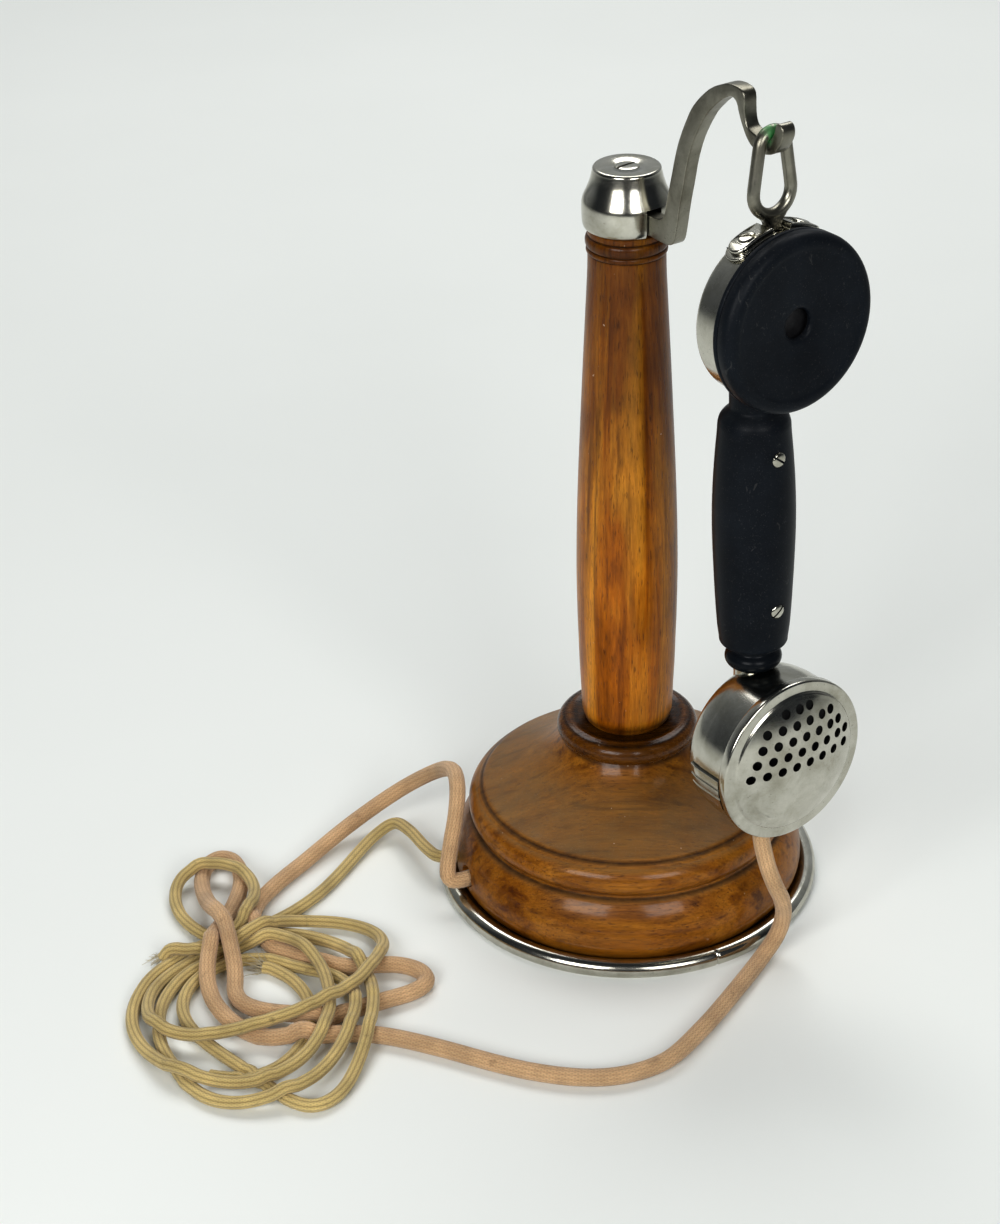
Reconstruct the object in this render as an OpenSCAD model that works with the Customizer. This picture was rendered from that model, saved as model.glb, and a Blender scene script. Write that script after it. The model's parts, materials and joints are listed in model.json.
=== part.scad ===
// Column telephone with a hanging one-piece handset.
// Millimetres, +Z up, origin at the centre of the base's resting face.

/* [Stand] */
// Outer radius of the nickel ring under the base
ring_r = 75; // [72:0.5:80]
// Height of the turned base up to the collar
base_h = 63.6; // [62:0.2:66]
// Height at which the column's foot starts
foot_z = 71.4; // [70.8:0.2:72]
// Height of the column's wooden top
column_top_z = 273.8; // [273.6:0.1:274]
// Largest radius of the column's swelling
swell_r = 19; // [18:0.1:20]
// Height of the flat top of the metal cap
cap_top_z = 295.6; // [295:0.1:297]
// Outer radius of the metal cap
cap_r = 15.9; // [15.6:0.1:16.4]
// Turn of the hook's plane about the column
hook_turn = -53; // [-60:1:-45]

/* [Hook lever] */
// Thickness of the lever's bar, across its plane
bar_t = 5.3; // [4.8:0.1:5.6]
// Distance of the pivot from the column's axis
pivot_s = 4; // [3.6:0.1:4.4]
// Height of the pivot
pivot_z = 279.5; // [279:0.1:280]
// Distance of the hook's cradle from the column's axis
cradle_s = 76.6; // [76.2:0.1:77]
// Height of the lowest point of the cradle's inner face
cradle_z = 326.9; // [326.5:0.1:327.1]

/* [Handset] */
// Distance of the handle's axis from the column's axis, at the handle's middle
handle_s = 72.4; // [72:0.2:76]
// Height of the handle's middle
handle_z = 200; // [199:0.2:201]
// Lean of the hanging handset
lean = -1.8; // [-2:0.1:0]
// Greatest radius of the handle
grip_r = 14.5; // [13.5:0.1:15]
// Height of the receiver's centre above the handle's middle
ear_up = 67.7; // [67.2:0.1:68.2]
// Radius of the ear cap
ear_r = 31; // [30.5:0.1:31.5]
// Distance of the ear cap's face in front of the handle's axis
ear_out = 24.3; // [24:0.1:25]
// Depth of the transmitter's centre below the handle's middle
mouth_down = 99.1; // [98.8:0.1:99.6]
// Radius of the transmitter's rim
mouth_r = 30.9; // [30.7:0.1:31.2]
// Distance of the transmitter's rim in front of the handle's axis
mouth_out = 22.4; // [22:0.1:23]
// Thickness of the stirrup's wire
wire_d = 4.2; // [3.8:0.1:4.4]

/* [Cords] */
// Diameter of the handset cord
handset_cord_d = 6.4; // [6:0.1:7]
// Diameter of the line cord
line_cord_d = 5.2; // [4.8:0.1:5.6]

/* [Hidden] */
$fn = 96;

// ---- helpers ----

// Points of an arc in a plane, centre c, radius r, from angle a0 to a1 in n steps
function arc(c, r, a0, a1, n = 8) =
    [for (i = [0:n]) let (a = a0 + (a1 - a0) * i / n) [c[0] + r * cos(a), c[1] + r * sin(a)]];

// Catmull-Rom curve through the points p, n steps to each stretch
function knot(p, i) = p[min(max(i, 0), len(p) - 1)];
function bend(a, b, c, d, t) =
    b + 0.5 * t * (c - a + t * (2 * a - 5 * b + 4 * c - d + t * (3 * (b - c) + d - a)));
function smooth(p, n) = concat(
    [for (i = [0:len(p) - 2]) for (k = [0:n - 1])
        bend(knot(p, i - 1), p[i], p[i + 1], knot(p, i + 2), k / n)],
    [p[len(p) - 1]]);

// Unit tangent of a curve at its point i, and the outline that lies w/2 to each side of it
function unit(v) = v / norm(v);
function tangent(p, i) = unit(knot(p, i + 1) - knot(p, i - 1));
function left_of(v) = [-v[1], v[0]];
function side_line(p, d) = [for (i = [0:len(p) - 1]) p[i] + d * left_of(tangent(p, i))];
function strip(p, w) = concat(side_line(p, w / 2), [for (q = [len(p) - 1:-1:0]) side_line(p, -w / 2)[q]]);

// Tube of radius r swept along p with n sides: each ring's first side is carried from the last one
function carried(p, i) = i == 0
    ? unit(cross(tangent(p, 0), abs(tangent(p, 0)[2]) > 0.9 ? [1, 0, 0] : [0, 0, 1]))
    : unit(let (b = carried(p, i - 1)) b - (b * tangent(p, i)) * tangent(p, i));
function ring_points(p, r, n) = [for (i = [0:len(p) - 1])
    let (a = carried(p, i), b = cross(tangent(p, i), a))
    for (k = [0:n - 1]) p[i] + r * (cos(360 * k / n) * a + sin(360 * k / n) * b)];
module tube(p, r, n = 8) {
    last = len(p) - 1;
    sides = [for (i = [0:last - 1]) for (k = [0:n - 1])
        let (a = i * n + k, b = i * n + (k + 1) % n) for (f = [[a, b, b + n], [a, b + n, a + n]]) f];
    caps = [[for (k = [n - 1:-1:0]) k], [for (k = [0:n - 1]) last * n + k]];
    polyhedron(points = ring_points(p, r, n), faces = [for (f = concat(sides, caps)) [f[2], f[1], f[0],
        for (k = [len(f) - 1:-1:3]) f[k]]], convexity = 6);
}

// A lathe-turned solid whose outline is the list of [radius, height]
module turned(outline) {
    rotate_extrude() polygon(outline);
}

// The hook's plane: x runs out from the column, y across the plane
module in_hook_plane() {
    rotate([0, 0, hook_turn]) children();
}

// The handset's own frame: z up its handle, x out through the ear cap
module on_handset() {
    in_hook_plane() translate([handle_s, 0, handle_z]) rotate([0, lean, 0]) children();
}

// A solid turned about the receiver's or the transmitter's axis
module at_ear() {
    on_handset() translate([0, 0, ear_up]) rotate([0, 90, 0]) children();
}
module at_mouth() {
    on_handset() translate([0, 0, -mouth_down]) rotate([0, 90, 0]) children();
}

// A slotted screw along +Z: its head's top is at z = 0
module slotted_screw(head_r, head_h, shank_r, shank_l, slot_turn = 0) {
    difference() {
        union() {
            translate([0, 0, -head_h]) cylinder(r = head_r, h = head_h);
            translate([0, 0, -head_h - shank_l]) cylinder(r = shank_r, h = shank_l + 0.01);
        }
        rotate([0, 0, slot_turn]) cube([3 * head_r, head_r / 3, head_h], center = true);
    }
}

// ---- stand ----

flange_t = 2.9;
flange_in = 58;
plate_gap = 0.1;
wood_bottom = 3;
cavity_r = 50;
cavity_z = 22;
upper_cavity_r = 40;
upper_cavity_z = 34;
rod_bore_r = 5.2;
base_screw_ring = 54;
base_screw_r = 1.6;
exit_z = 12;
handset_exit = -156.6;
line_exit = -170;
cord_hole_r = 4.2;
line_hole_r = 3.4;
clamp_ring = 43;

// Rolled nickel ring with an inner flange that the wooden base stands on
module base_ring() {
    bead = 3.6;
    color("silver") turned(concat([[flange_in, 0]], arc([ring_r - bead, 2.4], bead, -41.8, 150, 14),
        [[ring_r - 8.4, flange_t], [flange_in, flange_t]]));
}

module base_plate() {
    color("dimgray") difference() {
        cylinder(r = flange_in - plate_gap, h = flange_t);
        for (a = [45:90:315]) rotate([0, 0, a]) translate([base_screw_ring, 0, -1]) {
            cylinder(r = 1.7, h = 5);
            cylinder(r = 3.1, h = 2.4);
        }
    }
}

module base_screws() {
    color("darkgray") for (a = [45:90:315]) rotate([0, 0, a]) translate([base_screw_ring, 0, 0.3])
        rotate([180, 0, 0]) slotted_screw(3, 1.1, base_screw_r, 9, 30);
}

// Turned base: bulging foot, half-round shoulder, fine step and a long cove up to the collar
module base_body() {
    shoulder = arc([55.4, 33.2], 7.2, -44, 62, 12);
    foot = [[66.2, wood_bottom], [67.4, 5], [68.6, 8], [68.8, 11.5], [68.2, 15.5], [66.6, 20],
        [64.6, 23.6], [62.6, 26.2], [61, 27.4]];
    cove = [[57.2, 41.3], [56.4, 41.9], [52, 43.9], [46, 46.7], [39.5, 50], [34, 53.4], [29.5, 57],
        [26.6, 60.2], [25, 62.6], [24.4, base_h]];
    color("peru") difference() {
        turned(concat([[0, wood_bottom]], foot, shoulder, smooth(cove, 3), [[0, base_h]]));
        translate([0, 0, 1]) cylinder(r = cavity_r, h = cavity_z - 1);
        translate([0, 0, 1]) cylinder(r = upper_cavity_r, h = upper_cavity_z - 1);
        cylinder(r = rod_bore_r, h = base_h + 1);
        cord_hole(handset_exit, cord_hole_r);
        cord_hole(line_exit, line_hole_r);
        for (a = [45:90:315]) rotate([0, 0, a]) translate([base_screw_ring, 0, 0])
            cylinder(r = base_screw_r, h = 11);
    }
}
module cord_hole(turn, r) {
    rotate([0, 0, turn]) translate([cavity_r - 6, 0, exit_z]) rotate([0, 90, 0]) cylinder(r = r, h = 30);
}

board = [46, 16, 5];
board_at = [0, 21, upper_cavity_z - 2.5];
module terminal_board() {
    color("saddlebrown") difference() {
        translate(board_at) translate(-board / 2) cube(board);
        for (x = [-20:8:20]) translate([x, board_at[1], 20]) cylinder(r = 1.5, h = 14);
    }
}
module terminal_screws() {
    color("gold") for (x = [-20:8:20]) translate([x, board_at[1], board_at[2] - board[2] / 2 - 2])
        rotate([180, 0, 0]) slotted_screw(2.8, 2, 1.5, 4.5, 20);
}

// Induction coil, lying along X in the base's hollow
coil_y = -22;
coil_l = 44;
flange_side = 20;
coil_z = flange_t + flange_side / 2;
module along_coil() {
    translate([-coil_l / 2, coil_y, coil_z]) rotate([0, 90, 0]) children();
}
module coil_core() {
    color("gray") along_coil() translate([0, 0, -2]) cylinder(r = 3.4, h = coil_l + 4);
}
module coil_bobbin() {
    color("burlywood") along_coil() difference() {
        union() {
            cylinder(r = 4.4, h = coil_l);
            for (z = [0, coil_l - 3]) translate([-flange_side / 2, -flange_side / 2, z])
                cube([flange_side, flange_side, 3]);
        }
        translate([0, 0, -1]) cylinder(r = 3.4, h = coil_l + 2);
    }
}
module coil_winding() {
    color("darkgreen") along_coil() translate([0, 0, 3]) difference() {
        cylinder(r = 8.6, h = coil_l - 6);
        translate([0, 0, -1]) cylinder(r = 4.4, h = coil_l);
    }
}

// Saddles that grip the two cords inside the base
module at_clamp(turn) {
    rotate([0, 0, turn]) translate([clamp_ring, 0, exit_z]) children();
}
module cord_clamps() {
    color("goldenrod") for (c = [[handset_exit, handset_cord_d / 2], [line_exit, line_cord_d / 2]])
        at_clamp(c[0]) difference() {
            translate([-4, -c[1] - 1.4, flange_t - exit_z]) cube([8, 2 * c[1] + 2.8, 14.1]);
            translate([-5, 0, 0]) rotate([0, 90, 0]) cylinder(r = c[1] + 0.05, h = 10);
            translate([0, 0, -10]) cylinder(r = 1.3, h = 5);
        }
}
module clamp_screws() {
    color("darkgray") for (turn = [handset_exit, line_exit]) at_clamp(turn) translate([0, 0, 6.2])
        slotted_screw(2.4, 1.2, 1.2, 0, 15);
}

// Dark turned collar with a dished top that the column stands in
module column_collar() {
    color("saddlebrown") difference() {
        turned(concat([[0, base_h], [23.6, base_h], [24.6, base_h + 0.5]],
            arc([22.6, 67.4], 4.6, -40, 78, 10),
            [[22.3, 72.3], [21.2, 71.9], [18.6, foot_z], [0, foot_z]]));
        cylinder(r = rod_bore_r, h = foot_z + 1);
    }
}

// Column: rounded foot, long swelling, then a fine ring, a bead and a short neck under the cap
switch_bore_r = 10.5;
switch_bore_z = 226;
module column() {
    swelling = [[17.35, 76], [17.75, 86], [18.2, 96], [18.5, 107], [swell_r - 0.2, 118], [swell_r, 136],
        [18.7, 156], [18.1, 174], [17.4, 190], [16.55, 208], [15.6, 227], [14.65, 245], [14.05, 257],
        [13.9, 263.4]];
    color("sienna") difference() {
        turned(concat([[0, foot_z], [15.7, foot_z], [16.6, 73.2]], smooth(swelling, 3),
            [[13.8, 264.2], [14.25, 264.5], [14.5, 265.2], [14.35, 265.9], [13.9, 266.3], [13.9, 266.6],
            [14.4, 266.9], [14.75, 267.8], [14.75, 269.3], [14.35, 270.3], [13.8, 270.8], [13.8, 271.1],
            [14.05, 271.4], [14.1, 272.6], [13.9, 273.3], [12.6, 273.35]],
            [[12.6, column_top_z], [0, column_top_z]]));
        cylinder(r = rod_bore_r, h = column_top_z + 5);
        translate([0, 0, switch_bore_z]) cylinder(r = switch_bore_r, h = 60);
    }
}

rod_r = 4.6;
rod_bottom = 26;
rod_top = 231.5;
module tie_rod() {
    color("gray") difference() {
        translate([0, 0, rod_bottom]) cylinder(r = rod_r, h = rod_top - rod_bottom);
        cylinder(r = 3, h = rod_top + 1);
    }
}
module tie_washers() {
    color("silver") for (z = [upper_cavity_z - 1.2, switch_bore_z]) translate([0, 0, z]) difference() {
        cylinder(r = 8.4, h = 1.2);
        translate([0, 0, -1]) cylinder(r = rod_r + 0.1, h = 4);
    }
}
module tie_nuts() {
    color("silver") for (z = [upper_cavity_z - 5, switch_bore_z + 1.2]) translate([0, 0, z]) difference() {
        cylinder(r = 8, h = 3.8, $fn = 6);
        translate([0, 0, -1]) cylinder(r = rod_r, h = 6);
    }
}
module switch_wires() {
    color("olive") for (a = [0:120:240]) rotate([0, 0, a]) translate([1.3, 0, 20])
        cylinder(r = 0.9, h = 213.6);
}

// ---- hook switch, in the hook's plane ----

frame_z = column_top_z;
frame_t = 1.6;
cheek_in = 2.95;
cheek_t = 1.8;
blade_root_z = 243;
block_z = 233.6;
block_h = 16;
moving_s = 3.9;
fixed_s = 6.8;
blade_t = 0.4;
blade_w = 5;
foot_r = 0.6;
pin_r = 1.5;

// Brass frame: round plate on the column, two cheeks for the pivot, a bridge for the cap's screw
// and a strap down to the switch block
module switch_frame() {
    color("goldenrod") in_hook_plane() difference() {
        union() {
            translate([0, 0, frame_z]) cylinder(r = 12.4, h = frame_t);
            for (y = [-cheek_in - cheek_t, cheek_in]) translate([-6, y, frame_z]) cube([14, cheek_t, 13.2]);
            translate([-6, -cheek_in - cheek_t, 286]) cube([10, 2 * (cheek_in + cheek_t), 2.2]);
            translate([-9.4, -4, block_z]) cube([1.4, 8, frame_z - block_z + 1]);
        }
        translate([-4, -cheek_in, frame_z - 1]) cube([20, 2 * cheek_in, frame_t + 2]);
        translate([pivot_s, 0, pivot_z]) rotate([90, 0, 0]) cylinder(r = pin_r, h = 20, center = true);
        translate([0, 0, 280]) cylinder(r = 1.7, h = 12);
        for (z = [238, 246]) translate([-12, 0, z]) rotate([0, 90, 0]) cylinder(r = 1.3, h = 6);
    }
}
module switch_block() {
    color("black") in_hook_plane() difference() {
        translate([-8, -4.4, block_z]) cube([16.2, 8.8, block_h]);
        translate([moving_s - 0.6, -blade_w / 2 - 0.4, blade_root_z - 0.02])
            cube([1.8, blade_w + 0.8, 12]);
        blade_foot(foot_r + 0.05, blade_w + 0.8);
        translate([fixed_s - blade_t / 2, -blade_w / 2, blade_root_z - 4]) cube([blade_t, blade_w, 12]);
        for (z = [238, 246]) translate([-9, 0, z]) rotate([0, 90, 0]) cylinder(r = 1.2, h = 6.1);
    }
}
module switch_screws() {
    color("gold") in_hook_plane() for (z = [238, 246]) translate([-10, 0, z])
        rotate([0, -90, 0]) translate([0, 0, 0.2]) slotted_screw(2.2, 0.8, 1.2, 6, 0);
}
module blade(s, z0, z1) {
    in_hook_plane() translate([s - blade_t / 2, -blade_w / 2, z0]) cube([blade_t, blade_w, z1 - z0]);
}
module fixed_blade() {
    color("khaki") blade(fixed_s, blade_root_z - 4, 269);
}
module fixed_contact() {
    color("white") contact(fixed_s - blade_t / 2, -0.6);
}
// Rolled foot that the moving blade rocks on, in a round seat of the block
module blade_foot(r, w) {
    translate([moving_s, 0, blade_root_z]) rotate([90, 0, 0]) cylinder(r = r, h = w, center = true);
}
module moving_blade() {
    color("khaki") {
        blade(moving_s, blade_root_z, 270);
        in_hook_plane() blade_foot(foot_r, blade_w);
    }
}
module moving_contact() {
    color("white") contact(moving_s + blade_t / 2, 0.6);
}
module contact(s, h) {
    in_hook_plane() translate([h < 0 ? s + h : s, 0, 262]) rotate([0, 90, 0]) cylinder(r = 1.2, h = abs(h));
}
module pivot_pin() {
    color("silver") in_hook_plane() translate([pivot_s, 0, pivot_z]) rotate([90, 0, 0])
        cylinder(r = pin_r, h = 2 * (cheek_in + cheek_t), center = true);
}

// Gooseneck lever: bar out of the cap and up; its end thins, drops and turns up into an open cradle
lever_over = [[10, 282.4], [18, 282.6], [22.2, 283.2], [24.4, 285.6], [25.4, 290], [27.9, 300], [31.5, 313],
    [37.1, 324.9], [41.2, 330.4], [46.4, 335.2], [50, 337.6]];
lever_under = [[10, 275.2], [20, 275], [26, 275], [29.3, 276.6], [30.7, 280.5], [32.7, 290.9], [34.8, 299.7],
    [36.8, 308.3], [40.2, 317.2], [45.7, 326.2], [50.1, 330.9], [54, 334.2]];
hook_over = [[-24, 11.9], [-20.4, 13.3], [-16.6, 13.8], [-13.4, 13.4], [-11.7, 12.3], [-11.1, 10.3],
    [-11, 7.6], [-10.6, 4.5], [-9.6, 2.1], [-7.6, 0.9], [-4.6, 0.2], [-1.4, 0], [0.7, 0.3], [2.4, 1.3],
    [3.6, 3], [4.2, 4.9]];
hook_tip = [[4.7, 6.3], [5.7, 7], [6.9, 6.8], [7.9, 5.7], [8.2, 4.1], [8, 2.5]];
hook_under = [[6.6, -0.4], [4.7, -2.6], [2.9, -3.9], [-0.1, -4.8], [-3.7, -4.9], [-7.1, -3.9], [-9.4, -2.1],
    [-11.2, 0.3], [-12.9, 3.3], [-14.1, 5.9], [-15, 8.2], [-16.4, 9.4], [-18.3, 9.6], [-20.8, 8.4]];
wire_room = 0.5;
module hook_lever() {
    hook = [for (q = smooth(concat(hook_over, hook_tip, hook_under), 3)) q + [cradle_s, cradle_z]];
    back = smooth(lever_under, 4);
    color("lightslategray") in_hook_plane() difference() {
        rotate([90, 0, 0]) linear_extrude(height = bar_t, center = true) union() {
            polygon(concat(smooth(lever_over, 4), hook, [for (q = [len(back) - 1:-1:0]) back[q]]));
            polygon([[pivot_s - 3, pivot_z - 3.4], [12, 275.2], [12, 282.4], [pivot_s, pivot_z + 3.4],
                [pivot_s - 3, pivot_z + 2.4]]);
            polygon([[pivot_s - 5, 264.6], [pivot_s - 2, 264.6], [pivot_s - 2, 268], [pivot_s + 1.5, 277],
                [pivot_s - 3, pivot_z]]);
        }
        translate([pivot_s, 0, pivot_z]) rotate([90, 0, 0]) cylinder(r = pin_r + 0.06, h = 20, center = true);
        translate([handle_s, 0, handle_z]) rotate([0, lean, 0]) translate([stirrup_out, 0, crown_z])
            rotate([0, 0, 90]) wire_arc(crown_r, 0, 180, wire_d + wire_room);
    }
}
module lever_button() {
    color("black") in_hook_plane() translate([pivot_s - 2, 0, 266]) rotate([0, 90, 0])
        cylinder(r = 1.3, h = 1.4);
}

// Nickel cap with a slot, open at the bottom, for the lever
module cap() {
    wall = 1.4;
    bell = [[14.3, 273.45], [15.1, 274], [15.6, 275.2], [cap_r, 277], [cap_r, 282.8], [15.6, 284.6],
        [14.6, 286.6], [13.4, 288.6], [12.5, 291.2], [12, 293.2]];
    inside = [for (i = [len(bell) - 1:-1:0]) bell[i] - [wall, 0]];
    color("silver") difference() {
        turned(concat(bell, arc([10.8, cap_top_z - 1.2], 1.2, 10, 90, 6), [[0, cap_top_z]],
            [[0, cap_top_z - 2.2]], inside));
        translate([0, 0, 280]) cylinder(r = 2.3, h = 20);
        translate([0, 0, cap_top_z - 1]) cylinder(r = 4.4, h = 2);
        in_hook_plane() translate([8, -3.3, 268]) cube([12, 6.6, 16.4]);
    }
}
module cap_screw() {
    color("silver") translate([0, 0, cap_top_z + 0.2]) slotted_screw(4.2, 1.2, 1.7, 8, 40);
}

// ---- handset: stirrup and receiver ----

stirrup_out = 8.4;
leg_d = wire_d + 0.3;
stem_w = 6;
stem_t = 4;
loop_r = 7.8;
loop_z = 109.4;
crown_r = 5.5;
crown_z = 124.1;
case_r = 28.6;
case_back = 3.7;
case_front = 15.6;

// Half of the stirrup's loop: a swept circle along an arc of the loop
module wire_arc(r, from, sweep, d = wire_d) {
    rotate([90, 0, 0]) rotate([0, 0, from]) rotate_extrude(angle = sweep) translate([r, 0])
        circle(d = d, $fn = 32);
}
module wire_leg(a, b) {
    d = b - a;
    translate(a) rotate([-atan2(d[1], d[2]), 0, 0]) cylinder(d = leg_d, h = norm(d), $fn = 48);
    for (p = [a, b]) translate(p) sphere(d = leg_d, $fn = 48);
}
module stirrup() {
    leg = [[0, loop_r * cos(8), loop_z + loop_r * sin(8)], [0, crown_r * cos(8), crown_z + crown_r * sin(8)]];
    color("gray") on_handset() translate([stirrup_out, 0, 0]) {
        translate([0, 0, loop_z]) rotate([0, 0, 90]) wire_arc(loop_r, 172, 196);
        translate([0, 0, crown_z]) rotate([0, 0, 90]) wire_arc(crown_r, 8, 164);
        wire_leg(leg[0], leg[1]);
        mirror([0, 1, 0]) wire_leg(leg[0], leg[1]);
        translate([-stem_t / 2, -stem_w / 2, ear_up + case_r + 0.05]) cube([stem_t, stem_w, 6]);
        translate([-stem_t / 2, 0, 0]) rotate([90, 0, 90]) linear_extrude(height = stem_t)
            polygon([[-stem_w / 2, 98], [stem_w / 2, 98], [stem_w / 2, 99.4], [6.6, 103.4], [-6.6, 103.4],
                [-stem_w / 2, 99.4]]);
    }
}

// Curved nickel strap on top of the receiver, in two pads that hold the stirrup's foot
pad_turn = 24;
pad_top = case_r + 2.9;
module strap_arc(from, to, r0, r1, z0, z1) {
    rotate([0, 0, 180 + from]) rotate_extrude(angle = to - from) translate([r0, z0]) square([r1 - r0, z1 - z0]);
}
module stirrup_yoke() {
    color("silver") at_ear() difference() {
        union() {
            strap_arc(-38, 38, case_r + 0.03, case_r + 1.3, 4.8, 14.2);
            for (s = [-1, 1]) strap_arc(min(s * 9, s * 33), max(s * 9, s * 33), case_r + 0.6, pad_top, 5.4, 13.6);
        }
        translate([-40, -stem_w / 2 - 0.1, 0]) cube([20, stem_w + 0.2, 30]);
        for (s = [-1, 1]) at_pad(s) cylinder(r = 1.4, h = 12, center = true);
    }
}
module at_pad(s) {
    rotate([0, 0, 180 + s * pad_turn]) translate([pad_top, 0, 9.4]) rotate([0, 90, 0]) children();
}
module yoke_screws() {
    color("silver") at_ear() for (s = [-1, 1]) at_pad(s) translate([0, 0, 0.9])
        slotted_screw(3.1, 0.9, 1.3, 3.2, 60);
}

module receiver_case() {
    cup = concat([[0, case_back], [case_r - 2, case_back]], arc([case_r - 2, case_back + 2], 2, -60, 0, 5),
        [[case_r, case_front], [27.3, case_front], [27.3, 17.4], [25.4, 17.4], [25.4, 15.4]],
        [[26.9, 15.4], [26.9, case_back + 1.6], [0, case_back + 1.6]]);
    color("silver") at_ear() difference() {
        turned(cup);
        for (s = [-1, 1]) at_pad(s) cylinder(r = 1.3, h = 20, center = true);
        for (y = [-5, 5]) translate([13, y, 0]) cylinder(r = 1.4, h = 9);
    }
}

// Fork at the foot of the receiver: plate on its back and a stud down into the handle
module receiver_bracket() {
    color("gray") on_handset() difference() {
        union() {
            translate([1.1, -8, 41]) cube([case_back - 1.1, 16, 22]);
            translate([-4.6, -6, 36]) cube([8.3, 12, 7]);
            translate([0, 0, 28.9]) cylinder(r = 6.2, h = 8);
        }
        translate([0, 0, 20]) cylinder(r = 3, h = 15);
        for (y = [-5, 5]) translate([0, y, ear_up - 13]) rotate([0, 90, 0]) cylinder(r = 1.4, h = 8);
        translate([0, 0, ear_up]) rotate([0, 90, 0]) translate([0, 0, case_back]) cylinder(r = case_r, h = 9);
    }
}
module bracket_screws() {
    color("silver") on_handset() for (y = [-5, 5]) translate([0.3, y, ear_up - 13]) rotate([0, -90, 0])
        slotted_screw(2.6, 0.8, 1.3, 6, 0);
}

magnet_z = 5.4;
module receiver_magnet() {
    color("firebrick") at_ear() translate([0, 0, magnet_z]) difference() {
        cylinder(r = 23.5, h = 3.6);
        translate([0, 0, -1]) cylinder(r = 15.5, h = 6);
        translate([4, -6, -1]) cube([30, 12, 6]);
    }
}
module pole_pieces() {
    color("gray") at_ear() for (y = [-1, 1]) {
        translate([-1.6, y * 6.5 - 1.4, magnet_z + 3.6]) cube([3.2, 2.8, 8.1]);
        translate([-1.6, y < 0 ? -22 : 6.5 - 1.4, magnet_z + 3.6]) cube([3.2, 16.9, 1.2]);
    }
}
module receiver_coils() {
    color("darkgreen") at_ear() for (y = [-1, 1]) difference() {
        translate([-7, y * 6.5 - 4.4, magnet_z + 5]) cube([14, 8.8, 5.6]);
        translate([-1.6, y * 6.5 - 1.4, magnet_z]) cube([3.2, 2.8, 14]);
    }
}
module receiver_diaphragm() {
    color("gainsboro") at_ear() translate([0, 0, 17.5]) cylinder(r = 26.6, h = 0.4);
}

// Ebonite ear cap: rounded rim, grooved skirt, face dished to the sound hole
module ear_cap() {
    hole_r = 5.2;
    outside = concat([[28.9, 15.8]], arc([ear_r - 1.2, 17], 1.2, -80, 0, 4),
        [[ear_r, 17.9], [ear_r - 0.7, 18.3], [ear_r, 18.7]],
        arc([ear_r - 3.4, ear_out - 3.4], 3.4, 10, 90, 8),
        [[25.8, ear_out - 0.2], [16, ear_out - 0.9], [hole_r + 1.3, ear_out - 1.6], [hole_r, ear_out - 2.4]]);
    inside = [[hole_r, 20.6], [24, 19], [24, 18.1], [27.4, 18.1], [27.4, 15.8]];
    color("black") at_ear() turned(concat(outside, inside));
}

// ---- handset: handle ----

module handle_grip() {
    shape = [[12.2, -57.6], [12.9, -51.5], [13.7, -38], [grip_r - 0.1, -20], [grip_r, -8], [14.2, 2],
        [13.5, 13], [12.8, 21], [12.5, 25.4]];
    color("black") on_handset() difference() {
        turned(concat([[3, -59.8], [8.6, -59.8]], arc([10.6, -58.2], 1.6, -80, 0, 5), smooth(shape, 4),
            [[11.9, 27.4], [10.8, 29], [9.6, 30.1], [8.8, 31], [8.6, 32.2], [8.6, 38.4], [7.75, 38.4],
            [7.75, 35.9], [6.3, 35.9], [6.3, 28.85], [3, 28.85]]));
        for (z = [15.5, -42.7]) translate([0, 0, z]) rotate([0, 90, 0]) {
            cylinder(r = 1.4, h = 20);
            translate([0, 0, 12.5]) cylinder(r = 2.75, h = 8);
        }
    }
}
module handle_core() {
    color("goldenrod") on_handset() translate([0, 0, -78]) difference() {
        cylinder(r = 3, h = 112.8);
        translate([0, 0, -1]) cylinder(r = 1.9, h = 116);
    }
}
module handle_screws() {
    color("silver") on_handset() for (c = [[15.5, -38], [-42.7, 38]])
        translate([13.9, 0, c[0]]) rotate([0, 90, 0]) slotted_screw(2.7, 1.4, 1.3, 9.4, 90 + c[1]);
}
module handle_ferrule() {
    color("black") on_handset() difference() {
        turned(concat([[0, -69.3], [7.8, -69.3]], arc([6.9, -65.8], 3.3, -70, 62, 10),
            [[8.1, -61.6], [8.2, -59.8], [0, -59.8]]));
        translate([0, 0, -80]) cylinder(r = 3, h = 30);
    }
}

// ---- handset: transmitter ----

cup_r = 29.9;
cup_back = -5.2;
cup_lip = 18.5;
function cup_outline(grow) = concat(
    [[0, cup_back - grow], [21.6, cup_back - grow]],
    smooth([[24.4 + grow, cup_back + 0.5], [27.4 + grow, -2], [29.2 + grow, 2.2], [cup_r + grow, 7.4]], 3),
    [[cup_r + grow, cup_lip]]);
module cup_solid(grow) {
    rotate([0, 90, 0]) turned(concat(cup_outline(grow), [[0, cup_lip]]));
}
module transmitter_neck() {
    color("silver") on_handset() difference() {
        translate([0, 0, -78]) cylinder(r = 7.1, h = 8.6);
        translate([0, 0, -80]) cylinder(r = 3, h = 30);
        translate([0, 0, -mouth_down]) cup_solid(0);
    }
}
module transmitter_case() {
    wall = 1.2;
    outer = cup_outline(0);
    inner = [for (i = [len(outer) - 1:-1:1]) outer[i] - [wall, i < 2 ? -wall : 0]];
    color("silver") on_handset() difference() {
        translate([0, 0, -mouth_down]) rotate([0, 90, 0]) turned(concat(outer, inner, [[0, cup_back + wall]]));
        translate([0, 0, -80]) cylinder(r = 3, h = 30);
        translate([gland_out, 0, -mouth_down - 40]) cylinder(r = 3.3, h = 20);
    }
}

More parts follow.
